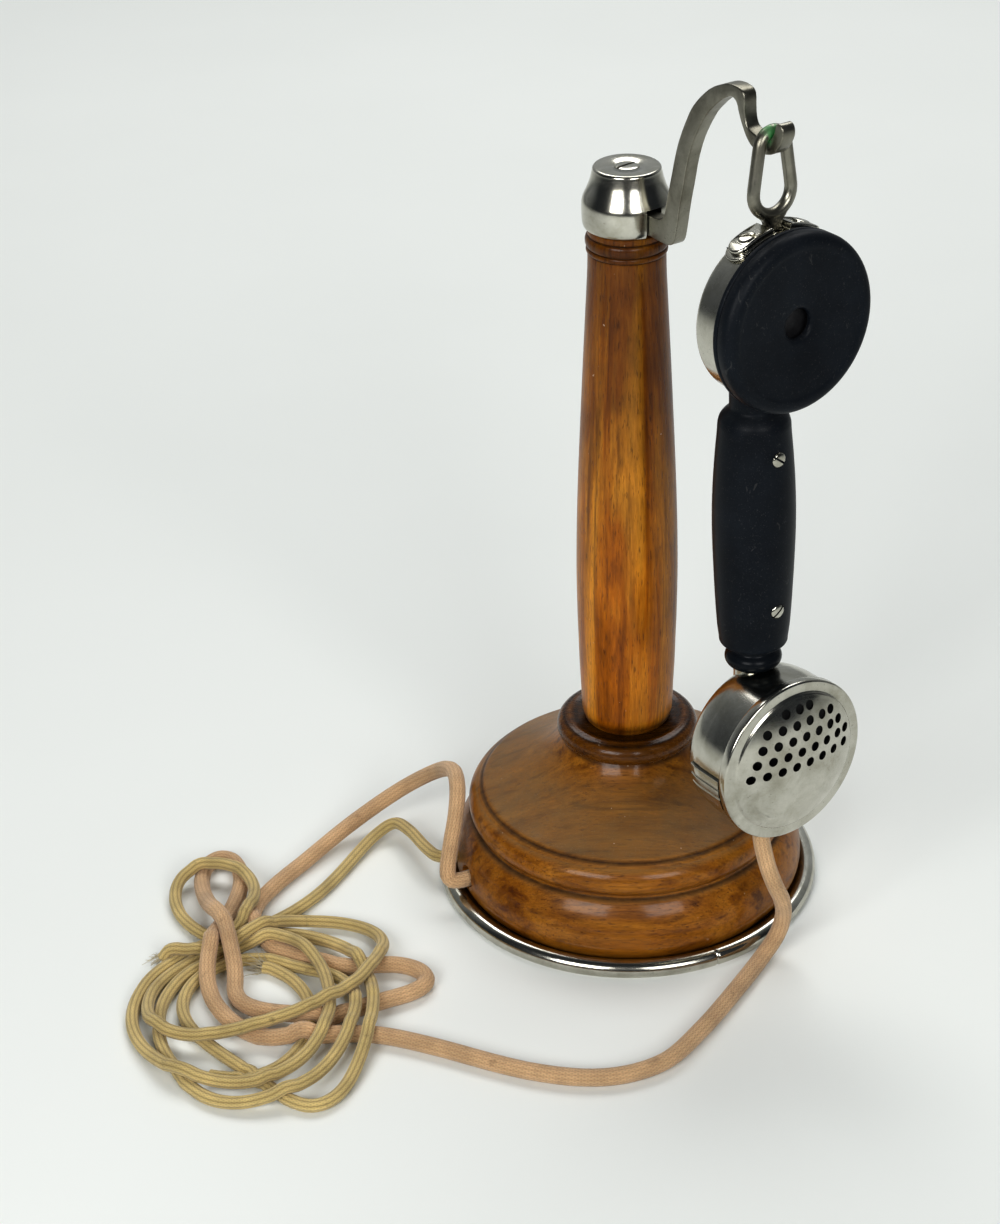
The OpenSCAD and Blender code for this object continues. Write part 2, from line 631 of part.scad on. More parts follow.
// Spring strip along the cup's side, with two long grooves
module transmitter_clip() {
    strip = [[cup_r + 0.06, 7.4], [cup_r + 0.06, 18], [cup_r + 0.8, 18], [cup_r + 0.8, 6],
        [cup_r + 0.3, 2], [29.45, 2.2], [29.82, 4.5]];
    color("silver") at_mouth() difference() {
        rotate([0, 0, -92]) rotate_extrude(angle = 26) polygon(strip);
        for (a = [-84, -77]) rotate([0, 0, a]) translate([cup_r + 0.5, -0.35, -8]) cube([2, 0.7, 40]);
    }
}
module back_electrode() {
    color("dimgray") at_mouth() translate([0, 0, cup_back + 1.3]) {
        cylinder(r = 11, h = 4);
        translate([0, 0, 4]) cylinder(r = 6.4, h = 6);
    }
}
module carbon_chamber() {
    color("goldenrod") at_mouth() translate([0, 0, 0.15]) difference() {
        cylinder(r = 9, h = 15.4);
        translate([0, 0, -1]) cylinder(r = 7, h = 13);
    }
}
module felt_ring() {
    color("firebrick") at_mouth() translate([0, 0, 15.6]) difference() {
        cylinder(r = 9, h = 2.3);
        translate([0, 0, -1]) cylinder(r = 6, h = 4);
    }
}
module transmitter_diaphragm() {
    color("black") at_mouth() translate([0, 0, 18]) cylinder(r = 28.5, h = 0.5);
}

// Perforated cover: flat rolled rim, raised dome with holes in its upper half. Each row of holes is
// [number of the row, holes, holes left out at its start]
punch_r = 1.75;
hole_step = 6.1;
row_step = 5.2;
row_shift = 2.5;
first_hole = [-21.3, 1];
row_ends = 1.5;
punch_rows = [[0, 8, 0], [1, 8, 0], [2, 7, 0], [3, 6, 0], [4, 3, 1]];
module transmitter_cover() {
    sheet = 0.8;
    dome_r = 25.8;
    dome_h = 4.2;
    dome = [for (i = [0:12]) let (r = dome_r * (1 - i / 12))
        [r, mouth_out + 0.9 + dome_h * (1 - pow(r / dome_r, 2))]];
    under = [for (i = [12:-1:0]) dome[i] - [0, sheet]];
    color("gainsboro") at_mouth() difference() {
        turned(concat([[27.4, cup_lip + 0.05]], [[mouth_r - 0.3, cup_lip + 0.05], [mouth_r, cup_lip + 0.6]],
            arc([mouth_r - 0.9, mouth_out - 0.9], 0.9, 0, 90, 5),
            [[26.9, mouth_out], [26.5, mouth_out + 0.5]], dome, under,
            [[26.6, mouth_out - 0.8], [27.4, mouth_out - 1.2]]));
        for (row = punch_rows) for (k = [0:row[1] - 1]) translate([-first_hole[1] - row[0] * row_step,
            first_hole[0] + row[0] * row_shift + (k + row[2]) * hole_step
            - (row[0] > 0 && k == row[1] - 1 ? row_ends : 0), 0]) cylinder(r = punch_r, h = 40, $fn = 24);
    }
}

gland_out = 5;
gland_top = -129.2;
gland_h = 8;
module cord_gland() {
    color("black") on_handset() translate([gland_out, 0, gland_top - gland_h]) difference() {
        rotate_extrude() polygon([[2.9, 0], [4.4, 0], [5.2, gland_h], [2.9, gland_h]]);
        translate([-gland_out, 0, -gland_top + gland_h - mouth_down]) cup_solid(0.02);
    }
}

// ---- cords ----

lie = 3.4;
line_lie = 2.8;
handset_drop = [[49.2, -65.2, 62.9], [49.6, -65.2, 56], [52, -65, 46], [55, -65, 37], [58, -62, 28], [59, -58, 18],
    [57, -58, 9], [51, -65, lie], [42, -82, lie], [27, -108, lie], [12, -127, lie], [-10, -135, lie],
    [-38, -131, lie], [-71, -118, lie], [-88.6, -114.2, lie]];
handset_base_run = [[-143, -19, lie], [-138, -15, lie], [-130, -6, lie], [-113, 16, 7], [-94, 27, 16],
    [-78, 22, 29], [-70, 10, 38], [-67, -3, 40], [-67, -14, 34], [-69, -23, 24], [-70, -29, 15],
    [-66.5, -28.8, 12], [-56, -24.2, 12], [-34, -14.7, 12]];
line_run = [[-143.9, -46, line_lie], [-138, -45, line_lie], [-131, -38, line_lie], [-120, -23, line_lie], [-111, -3, line_lie],
    [-103, 12, 4], [-95, 17, 7], [-88, 9, 9], [-80, -6, 11], [-74, -13, 12], [-64, -11.3, 12],
    [-36, -6.3, 12]];
module handset_cord_drop() {
    color("rosybrown") tube(smooth(handset_drop, 2), handset_cord_d / 2);
}
module handset_cord_base_run() {
    color("rosybrown") tube(smooth(handset_base_run, 2), handset_cord_d / 2);
}
module line_cord_run() {
    color("tan") tube(smooth(line_run, 2), line_cord_d / 2);
}

// Outer shape of the tangle that both cords end in: an oval of turns, an ear and a side loop
bundle_h = 15;
module cord_bundle() {
    color("tan") translate([0, 0, 0.4]) linear_extrude(height = bundle_h) {
        translate([-140, -98]) circle(r = 47);
        translate([-136, -106]) circle(r = 48);
        translate([-162, -28]) circle(r = 21);
        translate([-174, -60]) square([30, 34]);
        translate([-100, -91]) square([22, 26]);
        translate([-84, -78]) circle(r = 13);
    }
}

base_ring();
base_plate();
base_screws();
base_body();
terminal_board();
terminal_screws();
coil_core();
coil_bobbin();
coil_winding();
cord_clamps();
clamp_screws();
column_collar();
column();
tie_rod();
tie_washers();
tie_nuts();
switch_wires();
switch_frame();
switch_block();
switch_screws();
fixed_blade();
fixed_contact();
pivot_pin();
cap();
cap_screw();
moving_blade();
moving_contact();
hook_lever();
lever_button();
stirrup();
stirrup_yoke();
yoke_screws();
receiver_case();
receiver_bracket();
bracket_screws();
receiver_magnet();
pole_pieces();
receiver_coils();
receiver_diaphragm();
ear_cap();
handle_grip();
handle_core();
handle_screws();
handle_ferrule();
transmitter_neck();
transmitter_case();
transmitter_clip();
back_electrode();
carbon_chamber();
felt_ring();
transmitter_diaphragm();
transmitter_cover();
cord_gland();
handset_cord_drop();
handset_cord_base_run();
line_cord_run();
cord_bundle();
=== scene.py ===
import bpy, bmesh, json, math
import numpy as np
from mathutils import Vector, Matrix, noise

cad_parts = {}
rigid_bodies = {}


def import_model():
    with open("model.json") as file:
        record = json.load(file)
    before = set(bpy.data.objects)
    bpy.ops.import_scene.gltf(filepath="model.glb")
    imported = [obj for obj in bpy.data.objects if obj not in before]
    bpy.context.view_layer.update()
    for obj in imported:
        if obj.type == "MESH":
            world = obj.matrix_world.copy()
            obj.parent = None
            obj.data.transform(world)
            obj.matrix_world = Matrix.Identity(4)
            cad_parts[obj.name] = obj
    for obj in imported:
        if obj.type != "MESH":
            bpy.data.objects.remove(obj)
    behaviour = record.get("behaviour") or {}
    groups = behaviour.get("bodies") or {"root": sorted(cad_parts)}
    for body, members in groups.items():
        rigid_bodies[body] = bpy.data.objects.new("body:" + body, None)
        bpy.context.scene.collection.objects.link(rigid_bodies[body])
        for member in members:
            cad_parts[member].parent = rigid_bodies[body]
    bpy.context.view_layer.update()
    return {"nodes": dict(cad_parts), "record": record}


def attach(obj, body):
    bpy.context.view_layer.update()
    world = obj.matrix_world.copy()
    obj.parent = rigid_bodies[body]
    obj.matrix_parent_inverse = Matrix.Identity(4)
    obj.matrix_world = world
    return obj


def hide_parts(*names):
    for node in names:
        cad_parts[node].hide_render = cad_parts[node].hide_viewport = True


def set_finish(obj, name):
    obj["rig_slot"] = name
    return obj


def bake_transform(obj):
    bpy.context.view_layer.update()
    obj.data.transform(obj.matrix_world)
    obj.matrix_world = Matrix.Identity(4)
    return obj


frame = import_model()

MM = 0.001
nodes = frame["nodes"]

# -------------------- camera
EYE = (0.0, -0.8529, 0.6161)
LENS_MM, SENSOR_MM = 76.47, 36.0
PITCH, YAW, ROLL = math.radians(30.30), math.radians(-3.24), math.radians(-1.65)
look = Vector((math.sin(YAW) * math.cos(PITCH), math.cos(YAW) * math.cos(PITCH), -math.sin(PITCH)))
level = Vector((math.cos(YAW), -math.sin(YAW), 0))
upright = level.cross(look)
right = level * math.cos(ROLL) + upright * math.sin(ROLL)
top = upright * math.cos(ROLL) - level * math.sin(ROLL)
lens = bpy.data.cameras.new("camera")
lens.lens, lens.sensor_width, lens.sensor_fit = LENS_MM, SENSOR_MM, "AUTO"
lens.clip_start, lens.clip_end = 0.05, 50.0
camera = bpy.data.objects.new("camera", lens)
bpy.context.scene.collection.objects.link(camera)
camera.matrix_world = Matrix((
    (right.x, top.x, -look.x, EYE[0]), (right.y, top.y, -look.y, EYE[1]),
    (right.z, top.z, -look.z, EYE[2]), (0, 0, 0, 1)))
bpy.context.scene.camera = camera


# -------------------- mesh helpers
def link(name, mesh):
    obj = bpy.data.objects.new(name, mesh)
    bpy.context.scene.collection.objects.link(obj)
    return obj


def shade(obj, angle=38):
    obj.data.polygons.foreach_set("use_smooth", [True] * len(obj.data.polygons))
    obj.data.set_sharp_from_angle(angle=math.radians(angle))


def mesh_from(name, verts, faces, angle=38, fix=False):
    mesh = bpy.data.meshes.new(name)
    mesh.from_pydata([tuple(v) for v in verts], [], [tuple(f) for f in faces])
    if fix:
        bm = bmesh.new()
        bm.from_mesh(mesh)
        bmesh.ops.remove_doubles(bm, verts=bm.verts, dist=1e-7)
        bmesh.ops.recalc_face_normals(bm, faces=bm.faces)
        bm.to_mesh(mesh)
        bm.free()
    obj = link(name, mesh)
    shade(obj, angle)
    return obj


def unit_rows(v):
    return v / np.linalg.norm(v, axis=1)[:, None]


def run_along(path):
    """The distance from the path's start to each of its points."""
    return np.concatenate([[0], np.cumsum(np.linalg.norm(np.diff(path, axis=0), axis=1))])


def rings(path, t, side, sizes, turn):
    """A ring about each point of the path, carried along its tangents t without twist from the first side."""
    made = []
    for at, way, size in zip(path, t, sizes):
        side = side - (side @ way) * way
        side /= np.linalg.norm(side)
        over = np.cross(way, side)
        made.append(at + size * (np.cos(turn)[:, None] * side + np.sin(turn)[:, None] * over))
    return np.vstack(made)


def spline(points, step):
    """A Catmull-Rom curve through the points, resampled at even steps."""
    p = np.array(points, float)
    ext = np.vstack([2 * p[0] - p[1], p, 2 * p[-1] - p[-2]])
    dense = []
    for i in range(1, len(ext) - 2):
        a, b, c, d = ext[i - 1:i + 3]
        t = np.linspace(0, 1, 24, endpoint=False)[:, None]
        dense.append(b + 0.5 * t * (c - a + t * (2 * a - 5 * b + 4 * c - d + t * (3 * (b - c) + d - a))))
    dense = np.vstack(dense + [p[-1:]])
    run = run_along(dense)
    marks = np.linspace(0, run[-1], max(3, int(round(run[-1] / step)) + 1))
    return np.stack([np.interp(marks, run, dense[:, k]) for k in range(p.shape[1])], axis=1)


def arc(cx, cy, r, a0, a1, n=10):
    return [(cx + r * math.cos(math.radians(a0 + (a1 - a0) * i / n)),
             cy + r * math.sin(math.radians(a0 + (a1 - a0) * i / n))) for i in range(n + 1)]


def curve(points, step=0.8):
    return [tuple(q) for q in spline(points, step)]


def turn_z(angle):
    return Matrix.Rotation(math.radians(angle), 4, "Z")


def turn_y(angle):
    return Matrix.Rotation(math.radians(angle), 4, "Y")


def shift(x, y, z):
    return Matrix.Translation((x, y, z))


HOOK_TURN = -53                # the hook's plane, in degrees about the column
HANDSET_AT = (72.4, 0, 200)    # the handset's middle, in the hook's plane
HANDSET_LEAN = -1.8
EAR_UP, MOUTH_DOWN = 67.7, 99.1
STIRRUP_OUT = 8.4              # from the handset's own line to the stirrup's
HOOK = turn_z(HOOK_TURN)
HAND = HOOK @ shift(*HANDSET_AT) @ turn_y(HANDSET_LEAN)
EAR = HAND @ shift(0, 0, EAR_UP) @ turn_y(90)
MOUTH = HAND @ shift(0, 0, -MOUTH_DOWN) @ turn_y(90)
STIRRUP = HAND @ shift(STIRRUP_OUT, 0, 0)
STILL = Matrix.Identity(4)


def placed(points, where):
    """Points in mm, taken to their place in the row frame in metres."""
    m = np.array(where)
    return (np.asarray(points, float) @ m[:3, :3].T + m[:3, 3]) * MM


def lathe(name, outline, where=STILL, sides=160, warp=None):
    """A closed outline of (radius, height) in mm, turned about the axis; warp may push its points."""
    pts, grid = [], []
    turn = np.linspace(0, 2 * math.pi, sides, endpoint=False)
    for r, z in outline:
        if r < 1e-6:
            grid.append([len(pts)] * sides)
            pts.append((0, 0, z))
        else:
            grid.append(list(range(len(pts), len(pts) + sides)))
            pts += [(r * math.cos(t), r * math.sin(t), z) for t in turn]
    faces = []
    for i in range(len(outline)):
        a, b = grid[i], grid[(i + 1) % len(outline)]
        if a[0] == a[1] and b[0] == b[1]:
            continue
        for k in range(sides):
            q = (k + 1) % sides
            f = [a[k], a[q], b[q], b[k]]
            faces.append([v for j, v in enumerate(f) if v != f[j - 1]])
    pts = np.array(pts)
    if warp is not None:
        pts = warp(pts)
    return mesh_from(name, placed(pts, where), faces, fix=True)


def box(size, center, where=STILL):
    """A plain block, as a cutter."""
    x, y, z = (s / 2 for s in size)
    pts = np.array([(i, j, k) for i in (-x, x) for j in (-y, y) for k in (-z, z)]) + np.array(center)
    faces = [(0, 1, 3, 2), (4, 6, 7, 5), (0, 4, 5, 1), (2, 3, 7, 6), (0, 2, 6, 4), (1, 5, 7, 3)]
    return mesh_from("cutter", placed(pts, where), faces, fix=True)


def drill(r, z0, z1, where=STILL, sides=40):
    """A round cutter from z0 to z1."""
    return lathe("cutter", [(0, z0), (r, z0), (r, z1), (0, z1)], where, sides)


def carve(obj, cutters, kind="DIFFERENCE", angle=38):
    """Cuts the cutters out of obj, or melts them into it with UNION, and drops them."""
    for cutter in cutters:
        m = obj.modifiers.new("cut", "BOOLEAN")
        m.operation, m.object, m.solver = kind, cutter, "MANIFOLD"
    made = bpy.data.meshes.new_from_object(obj.evaluated_get(bpy.context.evaluated_depsgraph_get()))
    obj.modifiers.clear()
    obj.data = made
    for cutter in cutters:
        bpy.data.objects.remove(cutter)
    shade(obj, angle)
    return obj


def sweep(name, path, radius, where=STILL, closed=False, sides=24, axis=(0, 0, 1.0)):
    """A tube of one radius along the path in mm."""
    p = np.array(path, float)
    n = len(p)
    t = unit_rows((np.roll(p, -1, 0) - np.roll(p, 1, 0)) if closed else np.gradient(p, axis=0))
    turn = np.linspace(0, 2 * math.pi, sides, endpoint=False)
    pts = rings(p, t, np.cross(t[0], axis), [radius] * n, turn)
    faces = []
    for i in range(n if closed else n - 1):
        for k in range(sides):
            a, b = i * sides, (i + 1) % n * sides
            faces.append((a + k, a + (k + 1) % sides, b + (k + 1) % sides, b + k))
    if not closed:
        faces.append(tuple(range(sides)))
        faces.append(tuple(range((n - 1) * sides, n * sides)))
    return mesh_from(name, placed(pts, where), faces, fix=True)


EDGE_STEPS = 5


def slab(name, outline, thick, edge, where=STILL, bend=None):
    """A plate from a closed outline in mm, lying in x and y, with rounded edges; bend may map its points."""
    p = np.array(outline, float)
    t = unit_rows(np.roll(p, -1, 0) - np.roll(p, 1, 0))
    area = 0.5 * np.sum(p[:, 0] * np.roll(p[:, 1], -1) - np.roll(p[:, 0], -1) * p[:, 1])
    out = np.stack([t[:, 1], -t[:, 0]], 1) * (1 if area > 0 else -1)
    rings = [(edge * (1 - math.sin(a)), -thick / 2 + edge * (1 - math.cos(a)))
             for a in np.linspace(0, math.pi / 2, EDGE_STEPS)]
    rings += [(d, -z) for d, z in reversed(rings)]
    n = len(p)
    pts = np.vstack([np.column_stack([p - out * d, np.full(n, z)]) for d, z in rings])
    faces = [(i * n + k, i * n + (k + 1) % n, (i + 1) * n + (k + 1) % n, (i + 1) * n + k)
             for i in range(len(rings) - 1) for k in range(n)]
    faces += [tuple(range(n)), tuple(range(len(rings) * n - 1, (len(rings) - 1) * n - 1, -1))]
    if bend is not None:
        pts = bend(pts)
    return mesh_from(name, placed(pts, where), faces, fix=True)


def slotted_screw(name, head_r, head_h, shank_r, shank_l, where, slot_turn=0, crown=0.5):
    """A slotted screw along +Z with its head's top at 0 and a softly crowned edge."""
    head = [(0, 0), (head_r * 0.45, -0.04 * crown), (head_r * 0.75, -0.25 * crown),
            (head_r * 0.93, -0.6 * crown), (head_r, -crown), (head_r, -head_h)]
    obj = lathe(name, head + [(shank_r, -head_h), (shank_r, -head_h - shank_l), (0, -head_h - shank_l)],
                where, 64)
    slot = box((3 * head_r, head_r / 3.6, 2.2 * head_h), (0, 0, 0), where @ turn_z(slot_turn))
    return carve(obj, [slot])


# -------------------- cords
HANDSET_D, LINE_D = 0.0064, 0.0049
# From the gland down to the table and round to the tangle, in mm
pink_drop = [(49.2, -65.2, 62.9), (49.6, -65.2, 57), (52, -65, 46), (55, -65, 37), (58, -62, 28),
             (59, -58, 18), (57, -58, 9), (51, -65, 3.4), (42, -82, 3.3), (27, -108, 3.3),
             (12, -127, 3.3), (-10, -135, 3.3), (-38, -131, 3.3), (-71, -118, 3.3)]
# In the tangle: up over the waist, an ear, back over the waist, and a loop to the right
pink_tangle = [
    (-94, -111, 3), (-112, -113, 3), (-128, -118, 3), (-140, -112, 6), (-149, -103, 12), (-156, -93, 19),
    (-159, -82, 24), (-159, -70, 27), (-157, -56, 24), (-155, -42, 16), (-153, -26, 6), (-153, -14, 3),
    (-157, -2, 3), (-164, 2, 3), (-170, -4, 3), (-171, -15, 3), (-167, -30, 10), (-161, -45, 24),
    (-155, -57, 33), (-150, -70, 32), (-147, -82, 22), (-148, -91, 8), (-142, -98, 3), (-129, -102, 3),
    (-114, -106, 3), (-104, -99, 3), (-90, -92, 3), (-78, -88, 3), (-71, -81, 3), (-76, -73, 3),
    (-87, -69, 3), (-97, -71, 3), (-107, -74, 3), (-120, -69, 3), (-132, -65, 3), (-142, -57, 3),
    (-147, -47, 3), (-147, -35, 3), (-141, -22, 3)]
# From the tangle up over the shoulder of the base and down into its hole
pink_home = [(-131, -7, 3.3), (-113, 16, 7), (-94, 27, 16), (-78, 22, 29), (-70, 10, 38), (-67, -3, 40),
             (-67, -14, 34), (-69, -23, 24), (-70, -29, 15), (-66.5, -28.8, 12), (-56, -24.2, 12),
             (-40, -17.3, 12)]
yellow_home = [(-36, -6.3, 12), (-42, -7.4, 12), (-64, -11.3, 12), (-74, -13, 12), (-80, -6, 11),
               (-88, 9, 9), (-95, 17, 7), (-103, 12, 4), (-111, -3, 2.8), (-120, -23, 2.8)]
# Three laps through the waist, a small round ear, a long top loop, and the bare end
yellow_tangle = [
    (-129, -36, 3), (-138, -45, 9), (-147, -50, 9), (-156, -53, 9), (-165, -60, 4), (-175, -70, 3),
    (-182, -81, 3), (-185, -95, 3), (-184, -107, 3), (-178, -120, 3), (-168, -131, 4), (-157, -139, 9),
    (-146, -143, 9), (-133, -144, 9), (-122, -137, 9), (-114, -127, 6), (-110, -113, 9), (-109, -101, 9),
    (-111, -88, 9), (-115, -76, 14), (-124, -63, 12), (-135, -57, 9), (-145, -58, 9),
    (-155, -63, 3), (-163, -69, 3), (-170, -79, 3), (-174, -91, 3), (-175, -103, 3), (-172, -116, 3),
    (-166, -129, 3), (-158, -140, 3), (-149, -149, 3), (-136, -152, 6), (-124, -149, 9), (-113, -142, 9),
    (-105, -128, 6), (-101, -114, 6), (-99, -100, 9), (-101, -88, 9), (-109, -77, 9), (-121, -70, 9),
    (-133, -66, 9), (-145, -66, 9),
    (-155, -69, 3), (-162, -76, 3), (-167, -86, 3), (-167, -98, 3), (-162, -109, 3), (-152, -119, 3),
    (-142, -128, 3), (-131, -138, 3), (-121, -148, 3), (-113, -154, 3), (-106, -152, 3), (-100, -143, 3),
    (-97, -131, 3), (-94, -115, 6), (-93, -99, 9), (-95, -86, 9), (-100, -73, 9), (-108, -62, 9),
    (-119, -54, 9), (-131, -50, 14), (-142, -52, 16),
    (-152, -57, 3), (-161, -56, 3), (-169, -49, 3), (-176, -40, 3), (-180, -30, 3), (-180, -19, 6),
    (-173, -13, 12), (-164, -10, 14), (-153, -15, 14), (-146, -27, 14), (-144, -40, 18), (-147, -52, 22),
    (-154, -60, 15), (-162, -66, 10), (-170, -72, 9), (-178, -81, 9), (-180, -93, 9), (-178, -105, 9),
    (-171, -115, 9), (-159, -119, 14), (-144, -116, 16), (-130, -111, 18), (-118, -107, 20),
    (-108, -101, 22), (-99, -90, 22), (-94, -73, 18), (-92, -58, 3), (-98, -48, 3), (-111, -43, 3),
    (-124, -44, 6), (-135, -49, 22), (-144, -58, 22), (-153, -66, 16), (-161, -68, 12), (-169, -67, 9),
    (-177, -67, 8)]
stray_end = [(-138, -71, 3), (-131, -74, 3), (-124, -80, 3), (-118, -90, 3), (-115, -103, 3),
             (-117, -116, 3), (-122, -128, 3), (-130, -135, 3), (-140, -137, 3), (-150, -135, 3)]


SETTLE_STEPS, SINK = 260, 0.0004
STIFF_UP, STIFF_FLAT, PULL_HOME = 0.30, 0.06, 0.05
LOOK_ROUND = 0.004


def settle(cords):
    """Lets the cords sink onto the table and onto each other. cords: [points, radius, free from, free to]."""
    P = np.vstack([c[0] for c in cords])
    R = np.concatenate([np.full(len(c[0]), c[1]) for c in cords])
    ident = np.concatenate([np.full(len(c[0]), k) for k, c in enumerate(cords)])
    order = np.concatenate([np.arange(len(c[0])) for c in cords])
    free = np.concatenate([(np.arange(len(c[0])) >= c[2]) & (np.arange(len(c[0])) < c[3]) for c in cords])
    n = len(P)

    def inner(k):
        i = np.arange(k, n - k)
        return i[(ident[i] == ident[i - k]) & (ident[i] == ident[i + k]) & free[i]]
    # Stiffness: each point is drawn to the middle of its neighbours one, two and three steps away
    spans = [(k, inner(k)) for k in (1, 2, 3)]
    home = P[:, :2].copy()
    gap = int(np.ceil(3.4 * R.max() / np.linalg.norm(P[1] - P[0])))
    for step in range(SETTLE_STEPS):
        P[free, 2] -= SINK * (1 - 0.8 * step / SETTLE_STEPS)
        for k, i in spans:
            curl = (P[i - k] + P[i + k]) / 2 - P[i]
            P[i, 2] += STIFF_UP * curl[:, 2]
            P[i, :2] += STIFF_FLAT * curl[:, :2]
        P[free, :2] += PULL_HOME * (home[free] - P[free, :2])
        if step % 8 == 0:
            reach = R[:, None] + R[None, :] + LOOK_ROUND
            near = ((P[:, None, :] - P[None, :, :]) ** 2).sum(2) < reach ** 2
            near &= (ident[:, None] != ident[None, :]) | (np.abs(order[:, None] - order[None, :]) > gap)
            a, b = np.where(np.triu(near, 1))
        t = unit_rows(np.gradient(P, axis=0))
        # Where two runs cross, one climbs over the other; where they lie along each other, they part
        flat = np.where(1 - np.abs((t[a] * t[b]).sum(1)) > 0.12, 0.15, 0.8)[:, None]
        for _ in range(4):
            d = P[a] - P[b]
            need = np.clip(R[a] + R[b] - np.linalg.norm(d, axis=1), 0, None)
            d = d * np.hstack([flat, flat, np.ones((len(a), 1))])
            push = d / np.maximum(np.linalg.norm(d, axis=1), 1e-9)[:, None] * need[:, None] * 0.5
            total, count = np.zeros_like(P), np.zeros(n)
            np.add.at(total, a, push)
            np.add.at(total, b, -push)
            np.add.at(count, a, need > 0)
            np.add.at(count, b, need > 0)
            P[free] += (total / np.maximum(count, 1)[:, None])[free] * 0.9
            P[:, 2] = np.where(free, np.maximum(P[:, 2], R), P[:, 2])
    out, start = [], 0
    for c in cords:
        out.append(P[start:start + len(c[0])])
        start += len(c[0])
    return out


def tube(name, path, section):
    """A closed tube along the path, with a map of turns round it and millimetres along it."""
    n, k = len(path), len(section)
    t = unit_rows(np.gradient(path, axis=0))
    side = np.cross(t[0], (0, 0, 1.0) if abs(t[0][2]) < 0.9 else (1.0, 0, 0))
    angles = np.linspace(0, 2 * math.pi, k, endpoint=False)
    run = run_along(path) / MM
    verts = rings(path, t, side, [section[:, None]] * n, angles)
    faces, uvs = [], []
    for i in range(n - 1):
        for j in range(k):
            faces.append((i * k + j, i * k + (j + 1) % k, (i + 1) * k + (j + 1) % k, (i + 1) * k + j))
            uvs += [(j / k, run[i]), ((j + 1) / k, run[i]), ((j + 1) / k, run[i + 1]), (j / k, run[i + 1])]
    for ring, v in ((range(k - 1, -1, -1), 0.0), (range((n - 1) * k, n * k), run[-1])):
        faces.append(tuple(ring))
        uvs += [(0.5, v)] * k
    obj = mesh_from(name, verts, faces, angle=60)
    layer = obj.data.uv_layers.new(name="cord_uv")
    layer.data.foreach_set("uv", np.array(uvs, np.float32).ravel())
    return obj


ROUTE_STEP, TUBE_STEP = 0.0026, 0.0013
pink = spline(np.array(pink_drop + pink_tangle + pink_home) * MM, ROUTE_STEP)
yellow = spline(np.array(yellow_home + yellow_tangle) * MM, ROUTE_STEP)
stray = spline(np.array(stray_end) * MM, ROUTE_STEP)


def nearest(path, point):
    return int(np.argmin(np.linalg.norm(path - np.array(point) * MM, axis=1)))


pink, yellow, stray = (spline(c, TUBE_STEP) for c in settle([
    (pink, HANDSET_D / 2, nearest(pink, pink_drop[-2]), nearest(pink, pink_home[0])),
    (yellow, LINE_D / 2, nearest(yellow, yellow_home[-2]), len(yellow)),
    (stray, LINE_D / 2, 0, len(stray))]))


STRANDS, STRAND_RINGS, STRAND_R = 46, 5, 0.00022


def tuft(name, tip, way, seed):
    """Frayed cotton at a cut end: thin bent strands that fan out of the tip."""
    rng = np.random.default_rng(seed)
    way = way / np.linalg.norm(way)
    side = np.cross(way, (0, 0, 1.0))
    side /= np.linalg.norm(side)
    over = np.cross(side, way)
    verts, faces = [], []
    for _ in range(STRANDS):
        a, r = rng.uniform(0, 2 * math.pi), LINE_D * 0.42 * math.sqrt(rng.uniform(0, 1))
        out = math.cos(a) * side + math.sin(a) * over
        root = tip - way * 0.0012 + r * out
        fan = way + out * rng.uniform(0.1, 0.75) + rng.normal(0, 0.22, 3)
        long = rng.uniform(0.003, 0.0075)
        p = np.array([root + fan * long * s + rng.normal(0, 0.0004, 3) * s
                      for s in np.linspace(0, 1, STRAND_RINGS)])
        p[:, 2] = np.maximum(p[:, 2], 0.0004)
        t = unit_rows(np.gradient(p, axis=0))
        u = np.cross(t[0], (0.3, 0.2, 0.9))
        u /= np.linalg.norm(u)
        base = len(verts)
        for i in range(STRAND_RINGS):
            w = np.cross(t[i], u)
            thick = STRAND_R * (1 - 0.6 * i / 4)
            verts += [p[i] + thick * (math.cos(b) * u + math.sin(b) * w) for b in (0, 2.1, 4.2)]
        for ring in range(base, base + 12, 3):
            faces += [(ring + k, ring + (k + 1) % 3, ring + 3 + (k + 1) % 3, ring + 3 + k) for k in range(3)]
        faces += [(base + 2, base + 1, base), (base + 12, base + 13, base + 14)]
    return mesh_from(name, verts, faces)


around = np.linspace(0, 2 * math.pi, 48, endpoint=False)
pink_section = HANDSET_D / 2 * (0.98 + 0.02 * np.cos(12 * around))
yellow_section = LINE_D / 2 * (0.93 + 0.07 * np.abs(np.cos(4 * around)) ** 0.7)
handset_cord = tube("handset_cord", pink, pink_section)
line_cord = tube("line_cord", yellow, yellow_section)
line_cord_end = tube("line_cord_end", stray, yellow_section)
frayed_end = tuft("frayed_end", yellow[-1], yellow[-1] - yellow[-4], 3)
frayed_branch = tuft("frayed_branch", stray[0], stray[0] - stray[3], 5)
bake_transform(handset_cord)
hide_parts("handset_cord_drop", "handset_cord_base_run")
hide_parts("line_cord_run", "cord_bundle")
for piece in (line_cord, line_cord_end, frayed_end, frayed_branch):
    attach(piece, "stand")
    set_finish(piece, "line_cord")
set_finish(handset_cord, "handset_cord")


# -------------------- stand
def stands_for(obj, body, look, *cad):
    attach(obj, body)
    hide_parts(*cad)
    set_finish(obj, look)
    return obj


